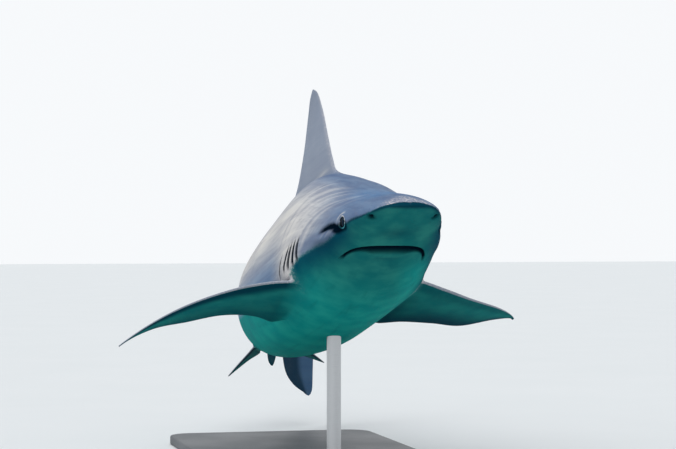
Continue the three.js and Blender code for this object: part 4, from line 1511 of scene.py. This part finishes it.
# The painted shadow under and behind the eye. The left eye's is weaker.
under_eye_shadow = hide.times(
    hide.math("MAXIMUM", shadow_patch, shadow_ring), hide.ramp(place_x, -0.01, 0.01, 1.0, 0.6)
)
tone = hide.mix(under_eye_shadow, tone, colour(2, 18, 32))
# The pale lid ring is brightest at the front, where painted light falls on it.
lid_ring_and_painted_light = hide.times(
    hide.ramp(eye_far, 8.3, 9.1), hide.ramp(eye_far, 11.8, 10.6), hide.ramp(eye_y, 6.0, -5.0, 0.12, 1.0)
)
lid_tone = hide.mix(hide.ramp(eye_z, -8.0, 3.0), colour(70, 148, 160), colour(214, 216, 220))
tone = hide.mix(lid_ring_and_painted_light, tone, lid_tone)
brow = hide.times(
    hide.ramp(eye_far, 12.2, 14.8), hide.ramp(eye_far, 20.0, 15.5),
    hide.ramp(eye_z, 1.0, 10.0, 0.0, 0.62), hide.ramp(eye_y, -6.0, 5.0),
)
tone = hide.mix(brow, tone, colour(206, 204, 204))
tone = hide.mix(hide.ramp(eye_far, 9.3, 8.6), tone, colour(2, 10, 18))
print("eye paint centred at y", EYE["y"] - OPENING_AHEAD, "height", round(float(eye_height), 1))

# %% [markdown]
# The snout has fine pores. Skin is matt: a fine grain and the thin streaks raise it a little,
# only the back shines softly, and nothing shines inside the slits.

# %% Pores, grain and shine
PORE_SCALE, GRAIN_SCALE = 150.0, 1500
cells = hide.add("TexVoronoi", {"Vector": place, "Scale": PORE_SCALE})
pore_spots = hide.times(hide.ramp(cells, 0.16, 0.07), hide.mask("pores"))
tone = hide.mix(hide.times(pore_spots, 0.55), tone, colour(30, 52, 58))
in_shade = hide.math("MAXIMUM", hide.mask("painted_recess_shade"), under_eye_shadow)
shine = hide.times(hide.ramp(in_shade, 0.0, 0.6, 0.03, 0.0), hide.ramp(is_back, 0.0, 1.0, 0.12, 1.0))
bumps = hide.bump(hide.noise(place, GRAIN_SCALE, 3, 0.6), 0.0006, 0.35)
bumps = hide.bump(thin_streaks, 0.0012, 0.35, bumps)
bumps = hide.bump(pore_spots, -0.0008, 0.6, bumps)
gloss = hide.ramp(middle, 0.3, 0.7, 0.50, 0.62)
skin_material = hide.finish(Base_Color=tone, Roughness=gloss, Normal=bumps, Specular_IOR_Level=shine)
skin_mesh.materials.append(skin_material)

flesh = [name for name in frame["nodes"] if not name.startswith(("eye_", "stand_"))]
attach(skin, "root")
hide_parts(*sorted(flesh))
print("skin stands for", len(flesh), "solids")

# %% [markdown]
# An eyeball is a ball whose pole looks outward. Blender's own sphere has evenly spaced rings.
# These are close together at the front, where the clear cornea swells a little over the iris.
# Rings of points are joined by a helper, which also serves the round parts of the stand.

# %% Rings of points
def ring_faces(rings, steps):
    """Four-sided faces between closed rings of points, and a face at either end."""
    polygons = []
    for first in range(0, (rings - 1) * steps, steps):
        for k in range(steps):
            a, b = first + k, first + (k + 1) % steps
            polygons.append((a, b, b + steps, a + steps))
    return polygons + [tuple(range(steps)), tuple(range((rings - 1) * steps, rings * steps))]


print("a tube of 3 rings of 8 points has", len(ring_faces(3, 8)), "faces")

# %% Eyeballs
EYE_RINGS, EYE_STEPS, RING_CROWDING = 40, 64, 1.4
EYE_CUT = math.radians(150)
CORNEA_SWELL, CORNEA_WIDTH, CORNEA_END = 0.6, 7.0, 1.2
SAME_PLACE = 1e-6


def eyeball(side):
    """The ball of one side, looking a little forward."""
    sign = 1 if side == "left" else -1
    socket = body_point(EYE["y"], sign * EYE["angle"])
    centre = socket + np.array([-sign * EYE["sunk"], -OPENING_AHEAD, OPENING_UP])
    polar = np.linspace(0, 1, EYE_RINGS)[:, None] ** RING_CROWDING * EYE_CUT
    around = np.linspace(0, 2 * math.pi, EYE_STEPS, endpoint=False)[None]
    radius = EYE["radius"] * np.sin(polar)
    cornea = CORNEA_SWELL * bell(radius, CORNEA_WIDTH) * (polar < CORNEA_END)
    out = EYE["radius"] * np.cos(polar) + cornea
    ahead, up = radius * np.cos(around), radius * np.sin(around)
    turn = math.atan(EYE_FORWARD)
    sideways = out * math.cos(turn) + ahead * math.sin(turn)
    rearward = ahead * math.cos(turn) - out * math.sin(turn)
    shape = np.stack([centre[0] + sign * sideways, centre[1] + rearward, centre[2] + up], -1)
    mesh = bpy.data.meshes.new("eyeball_" + side)
    vertices = posed(shape.reshape(-1, 3)).tolist()
    mesh.from_pydata(vertices, [], ring_faces(EYE_RINGS, EYE_STEPS))
    flat_eye = np.stack([ahead, up, np.degrees(polar) + 0 * ahead], -1)
    add_numbers(mesh, "looks", flat_eye.reshape(-1, 3))
    # The pole is one ring of points in the same place, so cleaning joins them.
    clean(mesh, merge=SAME_PLACE)
    return add_object("eyeball_" + side, mesh)


print("an eyeball has", EYE_RINGS, "rings of", EYE_STEPS, "points")

# %% [markdown]
# The pupil is an upright slit. The iris is nearly black, a little lighter near its edge, with
# faint spokes, and it has a black rim. All of it is drawn by how far across and up from the
# pole a point lies, so the ball needs no image. The surface is wet, so it is smooth.

# %% Eye material
PUPIL_HALF_WIDTH, PUPIL_HALF_HEIGHT = 2.3, 6.0
IRIS_RADIUS = 8.9
wet = Finish("eye_wet")
looks = wet.add("Attribute", output="Vector", attribute_name="looks")
across, upward, _ = wet.axes(looks)
squeezed = wet.math("POWER", wet.math("DIVIDE", across, PUPIL_HALF_WIDTH), 2.0)
tall = wet.math("POWER", wet.math("DIVIDE", upward, PUPIL_HALF_HEIGHT), 2.0)
pupil = wet.ramp(wet.plus(squeezed, tall), 1.15, 0.85)
far_out = wet.length(across, upward)
spokes = wet.noise(looks, 0.9, 4)
iris = wet.mix(wet.ramp(far_out, 2.0, IRIS_RADIUS), colour(8, 18, 32), colour(26, 44, 60))
iris = wet.mix(wet.ramp(spokes, 0.45, 0.75, 0.0, 0.3), iris, colour(70, 96, 112))
rim_tone = wet.mix(wet.ramp(far_out, IRIS_RADIUS - 1.9, IRIS_RADIUS - 0.9), iris, colour(3, 10, 18))
eye_tone = wet.mix(pupil, rim_tone, colour(3, 6, 12))
eye_material = wet.finish(Base_Color=eye_tone, Roughness=0.08, Specular_IOR_Level=0.008)
for side in ("left", "right"):
    ball = eyeball(side)
    ball.data.materials.append(eye_material)
    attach(ball, "root")
    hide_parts("eye_" + side)
print("eyes:", 2 * EYE["radius"], "mm balls")

# %% [markdown]
# The stand is plain: a flat painted plate and one steel rod, screwed down through a flange.
# The solids are faceted, so both are made again with round edges. A Bevel modifier could round
# them, but rings of points give each edge the radius that a maker would machine.

# %% Stand shapes
def solid(name, rings, sharp=40):
    """A closed piece from rings of points, with edges sharper than this angle kept crisp."""
    mesh = bpy.data.meshes.new(name)
    mesh.from_pydata(sum(rings, []), [], ring_faces(len(rings), len(rings[0])))
    clean(mesh)
    mesh.set_sharp_from_angle(angle=math.radians(sharp))
    return add_object(name, mesh)


def turned(name, profile, centre, steps=64):
    """A round piece from (radius, height) pairs, turned about an upright axis."""
    angles = np.linspace(0, 2 * math.pi, steps, endpoint=False)
    rings = [
        [(centre[0] + r * math.cos(a), centre[1] + r * math.sin(a), z) for a in angles]
        for r, z in profile
    ]
    return solid(name, rings)


def rounded_plate(name, low, high, corner, ease, corner_steps=12, ease_steps=4):
    """A flat plate with round corners and rounded upper and lower edges."""
    middle_x, middle_y = (low.x + high.x) / 2, (low.y + high.y) / 2
    half_x, half_y = (high.x - low.x) / 2, (high.y - low.y) / 2

    def loop(inset, z):
        ring = []
        for quarter, (sx, sy) in enumerate(((1, 1), (-1, 1), (-1, -1), (1, -1))):
            cx = middle_x + sx * (half_x - corner)
            cy = middle_y + sy * (half_y - corner)
            for i in range(corner_steps + 1):
                a = math.pi / 2 * (quarter + i / corner_steps)
                reach = corner - inset
                ring.append((cx + reach * math.cos(a), cy + reach * math.sin(a), z))
        return ring

    turns = [math.pi / 2 * i / ease_steps for i in range(ease_steps + 1)]
    bottom = [loop(ease * (1 - math.sin(t)), low.z + ease * (1 - math.cos(t))) for t in turns]
    top = [loop(ease * (1 - math.cos(t)), high.z - ease * (1 - math.sin(t))) for t in turns]
    return solid(name, bottom + top, sharp=60)


base_low, base_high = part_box("stand_base")
rod_low, rod_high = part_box("stand_rod")
print("base from", rounded([base_low, base_high]))

# %% Stand pieces
PLATE_CORNER, PLATE_EASE = 0.050, 0.003
ROD_RADIUS, FOOT_RADIUS, FOOT_HEIGHT, FILLET = 0.013, 0.048, 0.009, 0.014
FOOT_PROFILE = [
    # how far inside the foot's radius, and height above its underside: both edges are eased
    (0.0008, 0.0), (0.0, 0.0008), (0.0, 0.0075), (0.0005, 0.0085), (0.0015, FOOT_HEIGHT),
]
ROD_IN_BELLY = 0.006
FILLET_STEPS = 8
rod_at = ((rod_low.x + rod_high.x) / 2, (rod_low.y + rod_high.y) / 2)
plate = rounded_plate("stand_plate", base_low, base_high, PLATE_CORNER, PLATE_EASE)

foot_top = rod_low.z + FOOT_HEIGHT
profile = [(FOOT_RADIUS - inset, rod_low.z + height) for inset, height in FOOT_PROFILE]
for t in np.linspace(0, math.pi / 2, FILLET_STEPS + 1):
    reach, rise = FILLET * (1 - math.sin(t)), FILLET * (1 - math.cos(t))
    profile.append((ROD_RADIUS + reach, foot_top + rise))
profile += [(ROD_RADIUS, rod_high.z + ROD_IN_BELLY)]
rod = turned("stand_rod_turned", profile, rod_at)
print("rod", 2 * ROD_RADIUS, "m across, up to", round(profile[-1][1], 3))

# %% Stand screws
SCREW_COUNT, SCREW_CIRCLE, SCREW_STEPS = 4, 0.037, 24
SCREW_HEAD = [
    # radius, height above the foot: the side, a rounded edge, and the socket
    (0.0048, -0.0005), (0.0048, 0.0026), (0.0042, 0.0034), (0.0025, 0.0034), (0.0025, 0.0012),
]
head = [(radius, foot_top + height) for radius, height in SCREW_HEAD]
screws = []
for i in range(SCREW_COUNT):
    a = math.pi / 4 + math.pi / 2 * i
    at = (rod_at[0] + SCREW_CIRCLE * math.cos(a), rod_at[1] + SCREW_CIRCLE * math.sin(a))
    screws.append(turned("stand_screw_%d" % (i + 1), head, at, steps=SCREW_STEPS))
print("stand: plate, rod and", len(screws), "screws")

# %% [markdown]
# Powder coat has a fine orange-peel surface. Brushed steel has fine rings round the rod, which
# are noise squeezed along the rod's axis. Both are noise in the object's own space, so they
# need no unwrapping.

# %% Stand materials
coat = Finish("powder_coat")
where = coat.add("TexCoord", output="Object")
peel = coat.noise(where, 900, 2)
cloud = coat.noise(where, 6, 3)
tone = coat.mix(cloud, colour(58, 63, 69), colour(66, 71, 77))
coat_material = coat.finish(
    Base_Color=tone, Roughness=coat.ramp(cloud, 0.3, 0.7, 0.42, 0.52),
    Normal=coat.bump(peel, 0.0004, 0.35),
)
steel = Finish("brushed_steel")
where = steel.add("TexCoord", output="Object")
rings = steel.noise(steel.stretched(where, (60, 60, 2600)), 1.0, 2)
tone = steel.mix(rings, colour(172, 174, 177), colour(200, 202, 204))
steel_material = steel.finish(
    Base_Color=tone, Metallic=1.0, Roughness=steel.ramp(rings, 0.3, 0.7, 0.28, 0.42),
    Normal=steel.bump(rings, 0.0002, 0.25),
)
plate.data.materials.append(coat_material)
for piece in (rod, *screws):
    piece.data.materials.append(steel_material)
    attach(piece, "root")
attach(plate, "root")
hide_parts("stand_base")
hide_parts("stand_rod")
print("stand finishes:", coat_material.name, "and", steel_material.name)

# %% [markdown]
# Last, the box of the solids and the box of what is seen are set side by side. They
# have to agree, because the look must not change the size.

# %% Sizes and finish
boxes = {"solids": solid_box, "visual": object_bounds()}
{key: [[float(c) for c in corner] for corner in box] for key, box in boxes.items()}
print("visual box", rounded(boxes["visual"]))
